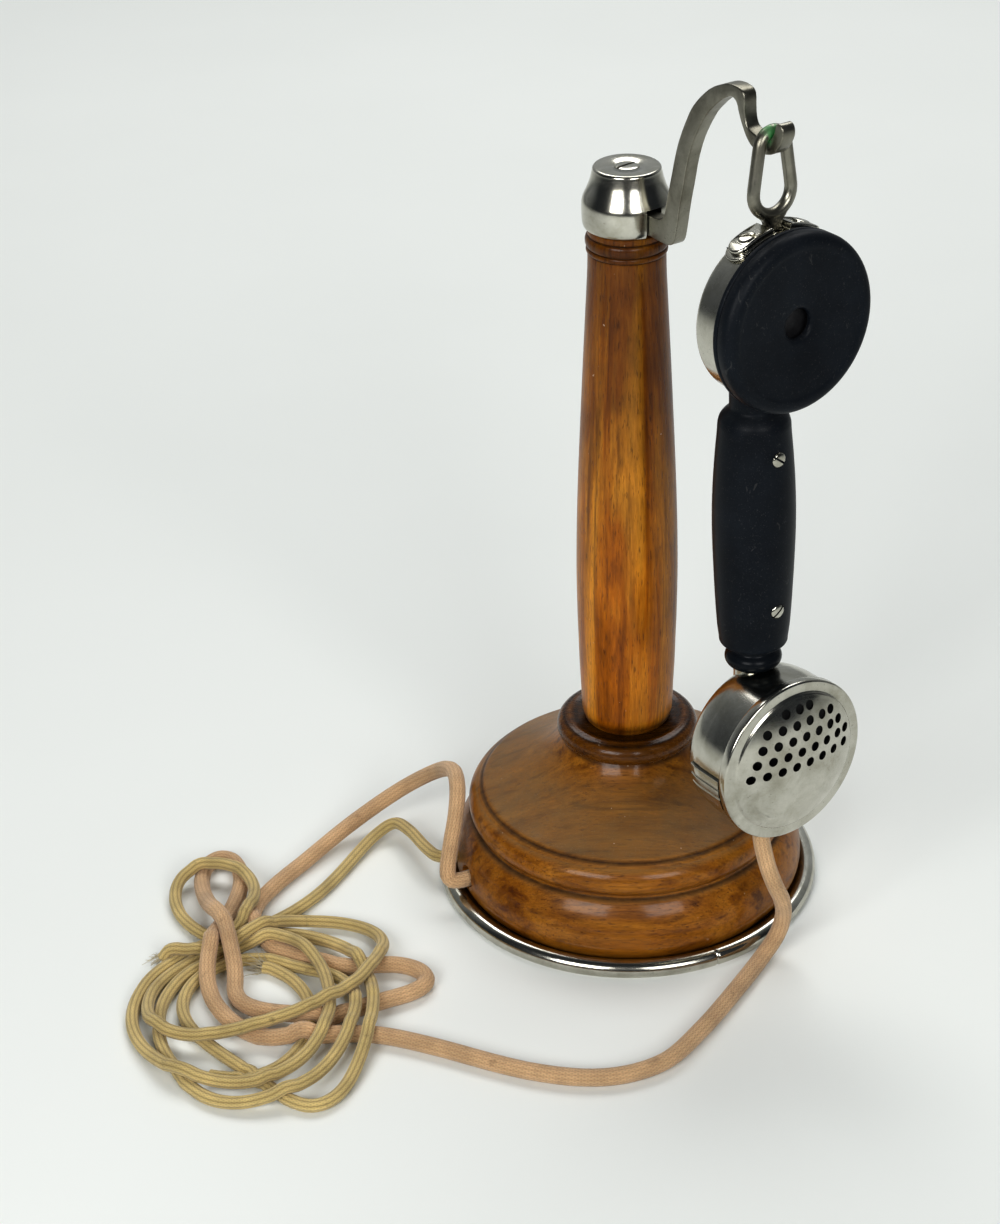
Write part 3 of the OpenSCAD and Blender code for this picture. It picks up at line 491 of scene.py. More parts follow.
def seam(pts):
    """A fine butt joint across the rolled ring."""
    a = np.degrees(np.arctan2(pts[:, 1], pts[:, 0]))
    dip = np.exp(-((a + 62.5) / 0.22) ** 2)
    r = np.hypot(pts[:, 0], pts[:, 1])
    out = pts.copy()
    mid = np.array([71.4, 2.4])
    way = np.column_stack([r - mid[0], pts[:, 2] - mid[1]])
    way /= np.maximum(np.linalg.norm(way, axis=1), 1e-6)[:, None]
    r2 = r - way[:, 0] * dip * 0.5
    out[:, 0], out[:, 1] = pts[:, 0] * r2 / r, pts[:, 1] * r2 / r
    out[:, 2] = np.maximum(pts[:, 2] - way[:, 1] * dip * 0.5, 0)
    return out


ring = lathe("base_ring_rolled", [(58, 0)] + arc(71.4, 2.4, 3.6, -41.8, 150, 26) + [(66.6, 2.9), (58, 2.9)],
             sides=720, warp=seam)
stands_for(ring, "stand", "nickel", "base_ring")

BORE = 5.2                     # radius of the tie rod's hole through base, collar and column
foot = [(66.2, 3), (67.4, 5), (68.6, 8), (68.8, 11.5), (68.2, 15.5), (66.6, 20), (64.6, 23.6),
        (62.6, 26.2), (61.2, 27.2)]
cove = [(56.9, 41.35), (56.3, 41.95), (52, 43.9), (46, 46.7), (39.5, 50), (34, 53.4), (29.5, 57),
        (26.6, 60.2), (25, 62.6), (24.4, 63.6)]
base_outline = (curve(foot) + [(60.75, 27.5)] + arc(55.4, 33.2, 7.2, -44, 62, 26)
                + [(58.1, 40.6), (57.4, 40.9)] + curve(cove)
                + [(BORE, 63.6), (BORE, 34), (40, 34), (40, 22), (50, 22), (50, 3)])
base = lathe("base_turned", base_outline, sides=224)


def cord_hole(turn, r, wear, seed):
    """A drill for a cord's hole, uneven towards its outer end, for a chipped edge."""
    def chipped(pts):
        out = pts.copy()
        for i, q in enumerate(pts):
            if q[2] > 0:
                n = noise.noise(Vector((q[0] * 0.55 + seed, q[1] * 0.55, (q[2] + 40) * 0.25)))
                out[i, :2] *= 1 + wear * (0.25 + n) * min(1, q[2] / 25)
        return out
    outline = [(0, 0)] + [(r, z) for z in range(0, 31, 2)] + [(0, 30)]
    return lathe("cutter", outline, turn_z(turn) @ shift(44, 0, 12) @ turn_y(90), 40, chipped)


carve(base, [cord_hole(-156.6, 4.3, 0.5, 1.0), cord_hole(-170, 3.5, 0.35, 7.0)])
stands_for(base, "stand", "base_wood", "base_body")

dish = [(23.2, 72.0), (22.4, 72.3), (21.6, 72.1), (20.4, 71.7), (18.6, 71.4)]
collar = lathe("collar_turned", [(BORE, 63.6), (23.4, 63.6), (24.2, 63.75), (24.7, 64.1)]
               + arc(22.6, 67.4, 4.6, -40, 78, 24) + curve(dish, 0.4) + [(BORE, 71.4)], sides=200)
stands_for(collar, "stand", "collar_wood", "column_collar")

swelling = [(16.6, 73.2), (17.35, 76), (17.75, 86), (18.2, 96), (18.5, 107), (18.8, 118), (19, 136),
            (18.7, 156), (18.1, 174), (17.4, 190), (16.55, 208), (15.6, 227), (14.65, 245), (14.05, 257),
            (13.9, 263.4)]
lower_ring = [(13.75, 264.2), (14.25, 264.5), (14.5, 265.2), (14.35, 265.9), (13.9, 266.3)]
bead = [(13.9, 266.5), (14.4, 266.8), (14.75, 267.8), (14.75, 269.3), (14.35, 270.3), (13.8, 270.75)]
upper_ring = [(13.8, 270.95), (14.05, 271.4), (14.1, 272.6), (13.9, 273.2), (12.6, 273.35)]
SWITCH_BORE = 10.5             # radius of the hollow that holds the hook switch
column = lathe("column_turned", [(BORE, 71.4), (15.7, 71.4)]
               + curve([(15.7, 71.45), (16.3, 72.1), (16.6, 73.2)], 0.4) + curve(swelling, 1.6)[1:]
               + curve(lower_ring, 0.2) + curve(bead, 0.25) + curve(upper_ring, 0.25)
               + [(12.6, 273.8), (SWITCH_BORE, 273.8), (SWITCH_BORE, 226), (BORE, 226)], sides=200)
stands_for(column, "stand", "column_wood", "column")

bell = [(14.2, 273.45), (15.1, 273.9), (15.6, 275), (15.85, 277), (15.95, 280), (15.9, 282.6), (15.7, 283.8),
        (15.1, 285.4), (14.4, 286.9), (13.6, 288.8), (12.8, 291.2), (12.1, 294.2)]
CAP_WALL = 1.4
bell_in = [(r - CAP_WALL, z) for r, z in reversed(bell)]
cap = lathe("cap_spun", curve(bell, 0.6) + arc(10.95, 294.5, 1.1, 0, 90, 8)
            + [(5.0, 295.65), (4.5, 295.3), (2.3, 295.2), (2.3, 293.2), (9.6, 293.2)]
            + curve(bell_in, 0.9), sides=200)
carve(cap, [box((12, 6.2, 17), (14, 0, 275.6), HOOK)])
stands_for(cap, "stand", "nickel", "cap")
stands_for(slotted_screw("cap_screw_head", 4.2, 1.2, 1.7, 8, shift(0, 0, 295.8), 40, 0.35),
           "stand", "nickel", "cap_screw")

# -------------------- hook lever
LEVER_THICK, PIN_R = 5.3, 1.56
PIVOT = HOOK @ shift(4, 0, 279.5)
lever_over = spline([(10, 282.4), (18, 282.6), (22.2, 283.2), (24.4, 285.6), (25.4, 290), (27.9, 300),
                     (31.5, 313), (37.1, 324.9), (41.2, 330.4), (46.4, 335.2), (50, 337.6)], 1.1)
lever_under = spline([(10, 275.2), (20, 275), (26, 275), (29.3, 276.6), (30.7, 280.5), (32.7, 290.9),
                      (34.8, 299.7), (36.8, 308.3), (40.2, 317.2), (45.7, 326.2), (50.1, 330.9),
                      (54, 334.2)], 1.1)
hook_over = [(52.6, 338.8), (56.2, 340.2), (60, 340.7), (63.2, 340.3), (64.9, 339.2), (65.5, 337.2),
             (65.6, 334.5), (66, 331.4), (67, 329), (69, 327.8), (72, 327.1), (75.2, 326.9), (77.3, 327.2),
             (79, 328.2), (80.2, 329.9), (80.8, 331.8)]
hook_tip = [(81.3, 333.2), (82.3, 333.9), (83.5, 333.7), (84.5, 332.6), (84.8, 331), (84.6, 329.4)]
hook_under = [(83.2, 326.5), (81.3, 324.3), (79.5, 323), (76.5, 322.1), (72.9, 322), (69.5, 323),
              (67.2, 324.8), (65.4, 327.2), (63.7, 330.2), (62.5, 332.8), (61.6, 335.1), (60.2, 336.3),
              (58.3, 336.5), (55.8, 335.3)]
hook = spline(hook_over + hook_tip + hook_under, 0.6)
lever_outline = np.vstack([lever_over, hook, lever_under[::-1],
                           [(8, 275.2), (4, 275.6), (1.4, 277.2), (1, 281), (4, 283), (8, 282.4)]])
STAND_UP = Matrix.Rotation(math.radians(90), 4, "X")
lever = slab("hook_lever_forged", lever_outline, LEVER_THICK, 0.45, HOOK @ STAND_UP)
# The stirrup's wire: a wide arc at the bottom of its loop and a narrow crown that hangs in the hook
WIRE_R, SEAT_R = 2.12, 2.35
LOOP_R, LOOP_Z = 7.8, 109.4
CROWN_R, CROWN_Z = 5.5, 124.1
seat = [(0, CROWN_R * math.cos(a), CROWN_R * math.sin(a)) for a in np.linspace(-0.5, math.pi + 0.5, 40)]
carve(lever, [sweep("cutter", seat, SEAT_R, HAND @ shift(STIRRUP_OUT, 0, CROWN_Z), axis=(1.0, 0, 0)),
              drill(PIN_R, -5, 5, PIVOT @ STAND_UP)])
finger = slab("lever_finger", [(-1, 264.6), (2, 264.6), (2, 268), (5.5, 276.6), (1, 279.5)], 5.2, 0.3,
              HOOK @ STAND_UP)
stands_for(lever, "lever", "dark_nickel", "hook_lever")
stands_for(finger, "lever", "dark_nickel", "hook_lever")

# -------------------- stirrup and receiver
def straight(a, b):
    """Points between a and b, without the two ends."""
    return [tuple(np.array(a) * (1 - t) + np.array(b) * t) for t in np.linspace(0, 1, 12)[1:-1]]


def wire_arc(r, z, a0, a1, n):
    return [(0, r * math.cos(a), z + r * math.sin(a)) for a in np.radians(np.linspace(a0, a1, n))]


loop_arc = wire_arc(LOOP_R, LOOP_Z, -188, 8, 40)
crown_arc = wire_arc(CROWN_R, CROWN_Z, 8, 172, 34)
wire = np.array(loop_arc + straight(loop_arc[-1], crown_arc[0])
                + crown_arc + straight(crown_arc[-1], loop_arc[0]))
for _ in range(3):
    wire = (np.roll(wire, 1, 0) + 2 * wire + np.roll(wire, -1, 0)) / 4
stirrup = sweep("stirrup_wire", wire, WIRE_R, STIRRUP, closed=True, sides=32, axis=(1.0, 0, 0))
stem = slab("stem", spline([(-3, 95.9), (-2.9, 98), (-3.3, 99.3), (-4.8, 101.1), (-7.0, 104.4), (-5.4, 104.3),
                            (0, 103), (5.4, 104.3), (7.0, 104.4), (4.8, 101.1), (3.3, 99.3), (2.9, 98),
                            (3, 95.9)], 0.4), 4, 0.9,
            STIRRUP @ turn_z(90) @ STAND_UP)
carve(stirrup, [stem], "UNION", angle=50)
stands_for(stirrup, "handset", "dark_nickel", "stirrup")

case = lathe("receiver_cup", [(0, 3.7), (26.4, 3.7)] + arc(26.6, 5.7, 2, -88, 0, 10)
             + [(28.6, 9), (28.6, 15.6), (27.3, 15.6), (27.3, 17.4), (25.4, 17.4), (25.4, 15.4), (26.9, 15.4),
                (26.9, 5.3), (0, 5.3)], EAR, 200)
stands_for(case, "handset", "nickel", "receiver_case")


YOKE_R = 30.0


def round_ear(pts):
    """Bends a flat plate, long in x, round the top of the receiver."""
    a = pts[:, 0] / YOKE_R
    r = YOKE_R + pts[:, 2]
    return np.column_stack([-r * np.cos(a), -r * np.sin(a), pts[:, 1] + 9.5])


def join(name, parts):
    """One object out of several closed pieces."""
    bm = bmesh.new()
    for part in parts:
        bm.from_mesh(part.data)
        bpy.data.objects.remove(part)
    mesh = bpy.data.meshes.new(name)
    bm.to_mesh(mesh)
    bm.free()
    obj = link(name, mesh)
    shade(obj, 50)
    return obj


def lug(x0, x1, half, nose):
    """Outline of a flat lug, square at x0 and round at x1."""
    side = 1 if x1 > x0 else -1
    tip = [(x1 - side * nose + side * nose * math.cos(a), half * math.sin(a))
           for a in np.linspace(-math.pi / 2, math.pi / 2, 26)]
    return [(x0 + side * 0.6, -half), *tip, (x0 + side * 0.6, half), (x0, half - 0.6), (x0, 0.6 - half)]


# The strap and, on it, the thicker pad: start, end, half width, nose radius, thickness, height
LUGS = ((3.3, 20.2, 4.7, 4.2, 1.2, -0.75), (3.5, 18.2, 4.1, 4.1, 2.4, 0.3))
plates = []
for s in (-1, 1):
    for x0, x1, half, nose, thick, lift in LUGS:
        shape = lug(s * x0, s * x1, half, nose)
        shape = spline(shape + shape[:1], 0.45)[:-1]
        plates.append(slab("plate", shape, thick, min(0.75, thick * 0.4), EAR,
                           lambda q, up=lift: round_ear(q + np.array([0, 0, up]))))
yoke = join("yoke_lugs", plates)
stands_for(yoke, "handset", "nickel", "stirrup_yoke")
for k, s in enumerate((-1, 1)):
    at_pad = EAR @ turn_z(180 + s * 21.5) @ shift(31.5, 0, 9.4) @ turn_y(90) @ shift(0, 0, 0.35)
    stands_for(slotted_screw(f"yoke_screw_{k}", 3.0, 1.0, 1.3, 2.6, at_pad, 60 - 25 * k, 0.35),
               "handset", "nickel", "yoke_screws")

ear_face = [(27.4, 24.32), (26.6, 24.32), (25.8, 24.15), (24.5, 23.95), (16, 23.4), (8.5, 22.85),
            (6.6, 22.65), (5.8, 22.3), (5.3, 21.7), (5.2, 20.8)]
ear = lathe("ear_cap_turned", [(28.9, 15.8)] + arc(29.8, 17, 1.2, -80, 0, 6)
            + [(31, 17.8), (30.85, 18.0), (30.3, 18.3), (30.85, 18.6), (31, 18.8)]
            + arc(27.6, 20.9, 3.4, 8, 88, 16) + curve(ear_face, 0.5)
            + [(5.2, 20.6), (24, 19), (24, 18.1), (27.4, 18.1), (27.4, 15.8)], EAR, 220)
stands_for(ear, "handset", "ebonite", "ear_cap")

# -------------------- handle
grip_shape = [(12.2, -57.6), (12.9, -51.5), (13.7, -38), (14.4, -20), (14.5, -8), (14.2, 2), (13.5, 13),
              (12.8, 21), (12.5, 25.4)]
neck = [(12.42, 25.7), (11.9, 27.4), (10.8, 29), (9.6, 30.1), (8.8, 31), (8.6, 32.2), (8.6, 35)]
grip = lathe("handle_grip_turned", [(3, -59.8), (8.6, -59.8)] + arc(10.6, -58.2, 1.6, -80, -8, 8)
             + curve(grip_shape, 1.2) + curve(neck, 0.5)
             + [(8.6, 38.4), (7.75, 38.4), (7.75, 35.9), (6.3, 35.9), (6.3, 28.85), (3, 28.85)], HAND, 160)
SCREWS = ((15.5, -38), (-42.7, 38))    # height on the handle and turn of the slot
carve(grip, [drill(2.85, 12.5, 20, HAND @ shift(0, 0, z) @ turn_y(90)) for z, _ in SCREWS])
stands_for(grip, "handset", "ebonite", "handle_grip")
for k, (z, slot_turn) in enumerate(SCREWS):
    stands_for(slotted_screw(f"handle_screw_{k}", 2.7, 1.4, 1.3, 9.4, HAND @ shift(13.9, 0, z) @ turn_y(90),
                             90 + slot_turn, 0.7), "handset", "nickel", "handle_screws")
ferrule = lathe("handle_ferrule_turned", [(3, -69.3), (7.4, -69.3), (8.0, -69.1)]
                + arc(6.9, -65.8, 3.3, -62, 62, 18)
                + [(8.15, -62.6), (7.9, -61.9), (8.1, -61.2), (8.2, -59.8), (3, -59.8)], HAND, 140)
stands_for(ferrule, "handset", "ebonite", "handle_ferrule")

# -------------------- transmitter
back = curve([(21.6, -5.2), (23.4, -4.95), (24.4, -4.7), (27.4, -2), (29.2, 2.2), (29.9, 7.4)], 0.6)
CUP_WALL = 1.2
inside = [(r - CUP_WALL, z + (CUP_WALL if r < 24 else 0)) for r, z in reversed(back)]
cup = lathe("transmitter_cup", [(0, -5.2)] + back + [(29.9, 12), (29.9, 18.5), (28.7, 18.5)]
            + inside + [(0, -4)], MOUTH, 220)
carve(cup, [drill(3.0, 0, 40, HAND @ shift(0, 0, -85)), drill(3.3, 0, 20, HAND @ shift(5, 0, -139.1))])
stands_for(cup, "handset", "nickel", "transmitter_case")


def round_cup(pts):
    """Bends a flat strip round the cup's side: x runs round, y along the axis."""
    a = math.radians(-79) + pts[:, 0] / 30.3
    z = pts[:, 1]
    lean_in = np.interp(z, [1.6, 4.5, 7.4], [-0.85, -0.12, 0.0])
    r = 30.35 + lean_in + pts[:, 2]
    groove = sum(np.exp(-((pts[:, 0] - g) / 0.33) ** 2) for g in (-2.7, 1.1))
    r = r - 0.34 * groove * (pts[:, 2] > 0)
    return np.column_stack([r * np.cos(a), r * np.sin(a), z])


def strip_faces(wide, tall):
    """Faces of a closed strip: a grid of wide by tall points on top, the same below, and the rim."""
    under = wide * tall
    quads = []
    for j in range(tall - 1):
        for i in range(wide - 1):
            a = j * wide + i
            top_quad = (a, a + 1, a + wide + 1, a + wide)
            quads += [top_quad, tuple(under + v for v in reversed(top_quad))]
    rim = (list(range(wide)) + [j * wide + wide - 1 for j in range(1, tall)]
           + [(tall - 1) * wide + i for i in range(wide - 2, -1, -1)]
           + [j * wide for j in range(tall - 2, 0, -1)])
    return quads + [(v, w, under + w, under + v) for v, w in zip(rim, rim[1:] + rim[:1])]


across_strip = np.linspace(-6.7, 6.7, 110)
up_strip = np.linspace(1.8, 18.0, 28)
sheet_pts = [(x, y, 0.36 - 0.6 * max(0, abs(x) - 6.3)) for y in up_strip for x in across_strip]
sheet_pts += [(x, y, -0.3) for y in up_strip for x in across_strip]
clip = mesh_from("clip_strip", placed(round_cup(np.array(sheet_pts)), MOUTH),
                 strip_faces(len(across_strip), len(up_strip)), fix=True)
stands_for(clip, "handset", "nickel", "transmitter_clip")

DOME_R, DOME_H, FACE, COVER_WALL = 25.8, 5.0, 22.4, 0.8
dome = [(r, FACE + 0.9 + DOME_H * (1 - (r / DOME_R) ** 2.1)) for r in np.linspace(DOME_R, 0, 56)]


def dented(pts):
    """A crescent crease low on the dome and a faint hammered unevenness."""
    out = pts.copy()
    r, a = np.hypot(pts[:, 0], pts[:, 1]), np.degrees(np.arctan2(pts[:, 1], pts[:, 0]))
    face = pts[:, 2] > FACE + 0.2
    line = 22.2 - 0.0035 * (a + 42) ** 2
    crease = np.exp(-((r - line) / 0.42) ** 2) * np.clip(1.25 - np.abs(a + 42) / 24, 0, 1)
    inner = np.exp(-((r - line + 1.5) / 0.7) ** 2) * np.clip(1.2 - np.abs(a + 42) / 22, 0, 1)
    out[:, 2] += face * (0.42 * crease - 0.30 * inner)
    for i in np.where(face & (r < 25))[0]:
        out[i, 2] += 0.07 * noise.noise(Vector(pts[i] * 0.16))
    return out


cover = lathe("transmitter_cover_pressed", [(27.4, 18.55), (30.6, 18.55), (30.9, 19.1)]
              + arc(30.0, 21.5, 0.9, 0, 90, 8)
              + [(28.4, 22.45), (27.0, 22.4), (26.7, 22.55), (26.4, 22.95), (26.1, 23.2)] + dome
              + [(r, z - COVER_WALL) for r, z in reversed(dome[:-1])] + [(26.6, 21.6), (27.4, 21.2)],
              MOUTH, 240, dented)
# Each row of holes: its number, how many holes, and how many are left out at its start
ROWS = ((0, 8, 0), (1, 8, 0), (2, 7, 0), (3, 6, 0), (4, 3, 1))
HOLE_R = 1.75
holes = []
for row, count, left_out in ROWS:
    for k in range(count):
        y = -21.3 + row * 2.5 + (k + left_out) * 6.1 - (1.5 if row and k == count - 1 else 0)
        x = -1 - row * 5.2
        holes.append((x, y))
punched = bmesh.new()
for x, y in holes:
    peg = drill(HOLE_R, 15, 32, MOUTH @ shift(x, y, 0), 36)
    punched.from_mesh(peg.data)
    bpy.data.objects.remove(peg)
pegs = bpy.data.meshes.new("pegs")
punched.to_mesh(pegs)
carve(cover, [link("cutter", pegs)], angle=30)
stands_for(cover, "handset", "nickel", "transmitter_cover")


# -------------------- materials
class Shader:
    """A material built from nodes. Textures use the object's own coordinates, in mm."""

    def __init__(self, name):
        self.mat = bpy.data.materials.new(name)
        self.mat.use_nodes = True
        self.tree = self.mat.node_tree
        self.bsdf = self.tree.nodes["Principled BSDF"]
        scale = self.add("ShaderNodeVectorMath", {0: self.add("ShaderNodeTexCoord", {}).outputs["Object"],
                                                  1: (1000, 1000, 1000)}, operation="MULTIPLY")
        self.place = scale.outputs[0]
        split = self.add("ShaderNodeSeparateXYZ", {0: self.place})
        self.x, self.y, self.z = split.outputs

    def add(self, kind, inputs, **props):
        node = self.tree.nodes.new(kind)
        for key, value in props.items():
            setattr(node, key, value)
        for key, value in inputs.items():
            self.put(node.inputs[key], value)
        return node

    def put(self, socket, value):
        if isinstance(value, bpy.types.NodeSocket):
            self.tree.links.new(value, socket)
        elif isinstance(value, tuple) and len(value) == 3 and socket.type == "RGBA":
            socket.default_value = (*value, 1)
        else:
            socket.default_value = value

    def set(self, **inputs):
        for key, value in inputs.items():
            self.put(self.bsdf.inputs[key.replace("_", " ")], value)

    def math(self, op, a, b=0.0, clamp=False):
        return self.add("ShaderNodeMath", {0: a, 1: b}, operation=op, use_clamp=clamp).outputs[0]

    def noise(self, scale, stretch=(1, 1, 1), detail=4.0, rough=0.55, bend=0.0):
        way = self.add("ShaderNodeVectorMath", {0: self.place, 1: stretch}, operation="MULTIPLY").outputs[0]
        return self.add("ShaderNodeTexNoise", {"Vector": way, "Scale": scale, "Detail": detail,
                                               "Roughness": rough, "Distortion": bend}).outputs["Fac"]

    def ramp(self, factor, *stops):
        node = self.add("ShaderNodeValToRGB", {0: factor})
        while len(node.color_ramp.elements) < len(stops):
            node.color_ramp.elements.new(0.5)
        for mark, (spot, color) in zip(node.color_ramp.elements, stops):
            mark.position = spot
            mark.color = (color, color, color, 1) if isinstance(color, (int, float)) else (*color, 1)
        return node.outputs["Color"]

    def mix(self, factor, a, b, kind="MIX"):
        node = self.add("ShaderNodeMix", {}, data_type="RGBA", blend_type=kind)
        self.put(node.inputs[0], factor)
        self.put(node.inputs[6], a)
        self.put(node.inputs[7], b)
        return node.outputs[2]

    def between(self, factor, a, b):
        return self.math("ADD", self.math("MULTIPLY", factor, b - a), a)

    def facing_up(self, start, gain):
        up = self.add("ShaderNodeSeparateXYZ", {0: self.add("ShaderNodeNewGeometry", {}).outputs["Normal"]})
        return self.math("MULTIPLY", self.math("SUBTRACT", up.outputs[2], start), gain, True)

    def band(self, value, at, half):
        off = self.math("ABSOLUTE", self.math("SUBTRACT", value, at))
        return self.math("SUBTRACT", 1.0, self.math("DIVIDE", off, half), True)

    def bump(self, height, depth, before=None):
        ins = {"Height": height, "Strength": 1.0, "Distance": depth * MM}
        if before is not None:
            ins["Normal"] = before
        return self.add("ShaderNodeBump", ins).outputs[0]


DUSTY, MOTES, BARE_WOOD = (0.175, 0.112, 0.048), (0.42, 0.33, 0.22), (0.55, 0.42, 0.3)


def wood(name, grain, deep, mid, pale, rough, coat, dust=0.0, shaded_grooves=(), gloom=0.0, top_tone=0.0):
    """Turned and waxed wood. grain is the stretch of its figure; the list of bands gives the heights of
    grooves and joints where shade is painted as dark bands.
    """
    s = Shader(name)
    fine = tuple(1.0 if g == 1 else g * 1.6 for g in grain)
    long = tuple(1.0 if g == 1 else g * 0.4 for g in grain)
    figure = s.noise(0.11, grain, 6, 0.62, 0.7)
    color = s.ramp(figure, (0.30, deep), (0.44, mid), (0.70, pale))
    fibre = s.noise(1.1, grain, 4, 0.65)
    color = s.mix(0.8, color, s.ramp(fibre, (0.25, 0.55), (0.75, 1.3)), "MULTIPLY")
    streak = s.noise(0.26, long, 4, 0.55, 0.4)
    color = s.mix(s.ramp(streak, (0.55, 0.0), (0.70, 0.7)), color, tuple(c * 0.6 for c in deep))
    flecks = s.ramp(s.noise(1.9, fine, 2, 0.45), (0.61, 0.0), (0.70, 1.0))
    color = s.mix(s.math("MULTIPLY", flecks, 0.6), color, tuple(c * 0.4 for c in deep))
    pores = s.ramp(s.noise(3.4, grain, 1, 0.4), (0.60, 0.0), (0.70, 1.0))
    color = s.mix(s.math("MULTIPLY", pores, 0.3), color, tuple(c * 0.4 for c in deep))
    cloud = s.noise(0.035, (1, 1, 1), 3)
    color = s.mix(1.0, color, s.ramp(cloud, (0.3, 1.0 - gloom), (0.7, 1.0 + 0.5 * gloom)), "MULTIPLY")
    rough_here = s.between(fibre, rough - 0.08, rough + 0.12)
    if dust:
        grime = s.math("MULTIPLY", s.facing_up(0.62, 3.0),
                       s.ramp(s.noise(0.11, detail=6), (0.25, 0.5), (0.7, dust)))
        color = s.mix(grime, color, DUSTY)
        motes = s.ramp(s.noise(2.4, detail=3, rough=0.7), (0.60, 0.0), (0.72, 0.5))
        color = s.mix(s.math("MULTIPLY", grime, motes), color, MOTES)
        rough_here = s.math("ADD", rough_here, s.math("MULTIPLY", grime, 0.2))
    # Painted shade: dark bands at the listed heights stand in for the shade in the grooves and joints of the
    # turning
    for at, half, strength in shaded_grooves:
        groove_shade = s.math("MULTIPLY", s.band(s.z, at, half),
                     s.between(s.noise(0.35), strength * 0.5, strength * 1.3))
        color = s.mix(s.math("MINIMUM", groove_shade, 1.0), color, tuple(c * 0.12 for c in deep))
    # The colour is made lighter at the foot of the column and darker towards its top
    if top_tone:
        tall = s.math("DIVIDE", s.math("SUBTRACT", s.z, 75.0), 195.0, True)
        color = s.mix(1.0, color, s.ramp(tall, (0.0, 1.4), (1.0, top_tone)), "MULTIPLY")
    nick = s.ramp(s.noise(0.55, detail=1.0), (0.80, 0.0), (0.82, 0.8))
    color = s.mix(nick, color, BARE_WOOD)
    height = s.math("ADD", s.math("MULTIPLY", fibre, 0.5), s.math("MULTIPLY", flecks, -0.8))
    s.set(Base_Color=color, Roughness=rough_here, Normal=s.bump(height, 0.07))
    s.set(Coat_Weight=coat, Coat_Roughness=0.12, Specular_IOR_Level=0.16)
    return s.mat


VERDIGRIS, VERDIGRIS_AT, VERDIGRIS_R = (0.012, 0.24, 0.045), (45.2, -61.7, 328.6), 4.6


def metal(name, color, tarnish, rough, worn=0.5, green=False):
    """Plated or bare metal with tarnish, fine grit and small dark pits, and verdigris if green."""
    s = Shader(name)
    cloud = s.noise(0.07, detail=7, rough=0.65, bend=0.4)
    tint = s.mix(s.ramp(cloud, (0.42, 0.0), (0.74, worn)), color, tarnish)
    grit = s.noise(1.1, detail=5, rough=0.7)
    tint = s.mix(0.3, tint, s.ramp(grit, (0.3, 0.72), (0.7, 1.12)), "MULTIPLY")
    pits = s.math("MULTIPLY", s.ramp(s.noise(0.95, detail=2), (0.69, 0.0), (0.74, 1.0)), 0.5)
    tint = s.mix(pits, tint, tuple(c * 0.25 for c in tarnish))
    shine = s.math("ADD", s.between(cloud, rough * 0.55, rough * 1.55), s.math("MULTIPLY", grit, 0.09))
    metallic = 1.0
    if green:
        near = s.add("ShaderNodeVectorMath", {0: s.place, 1: VERDIGRIS_AT}, operation="DISTANCE")
        inner = s.math("SUBTRACT", 1.0, s.math("DIVIDE", near.outputs["Value"], VERDIGRIS_R), True)
        patch = s.math("MULTIPLY", inner, 2.2, True)
        patch = s.math("MULTIPLY", patch, s.ramp(s.noise(0.8), (0.35, 0.0), (0.5, 1.0)))
        tint = s.mix(patch, tint, VERDIGRIS)
        metallic = s.math("SUBTRACT", 1.0, s.math("MULTIPLY", patch, 0.85))
        shine = s.math("ADD", shine, s.math("MULTIPLY", patch, 0.35))
    waves = s.bump(s.noise(0.10, detail=2), 0.05)
    s.set(Base_Color=tint, Metallic=metallic, Roughness=shine, Normal=s.bump(grit, 0.006, waves))
    return s.mat


def hard_rubber(name, dark, worn, rough, dust):
    """Ebonite: blue-black, rubbed, with scratches and a film of dust."""
    s = Shader(name)
    cloud = s.noise(0.06, detail=6, rough=0.6)
    color = s.mix(s.ramp(cloud, (0.35, 0.0), (0.7, 1.0)), dark, worn)
    specks = s.ramp(s.noise(1.7, detail=3, rough=0.7), (0.60, 0.0), (0.74, dust))
    scratch = s.ramp(s.noise(0.5, (1, 0.12, 0.5), 3, 0.6, 1.2), (0.67, 0.0), (0.70, dust * 0.6))
    film = s.math("MULTIPLY", s.facing_up(-0.2, 0.9), dust * 0.12)
    color = s.mix(s.math("ADD", film, s.math("ADD", specks, scratch), True), color, (0.16, 0.155, 0.145))
    rough_here = s.math("ADD", s.between(cloud, rough - 0.06, rough + 0.1), s.math("MULTIPLY", specks, 0.3))
    s.set(Base_Color=color, Roughness=rough_here, Specular_IOR_Level=0.09,
          Normal=s.bump(s.noise(1.3, detail=4), 0.012, s.bump(cloud, 0.05)))
    return s.mat


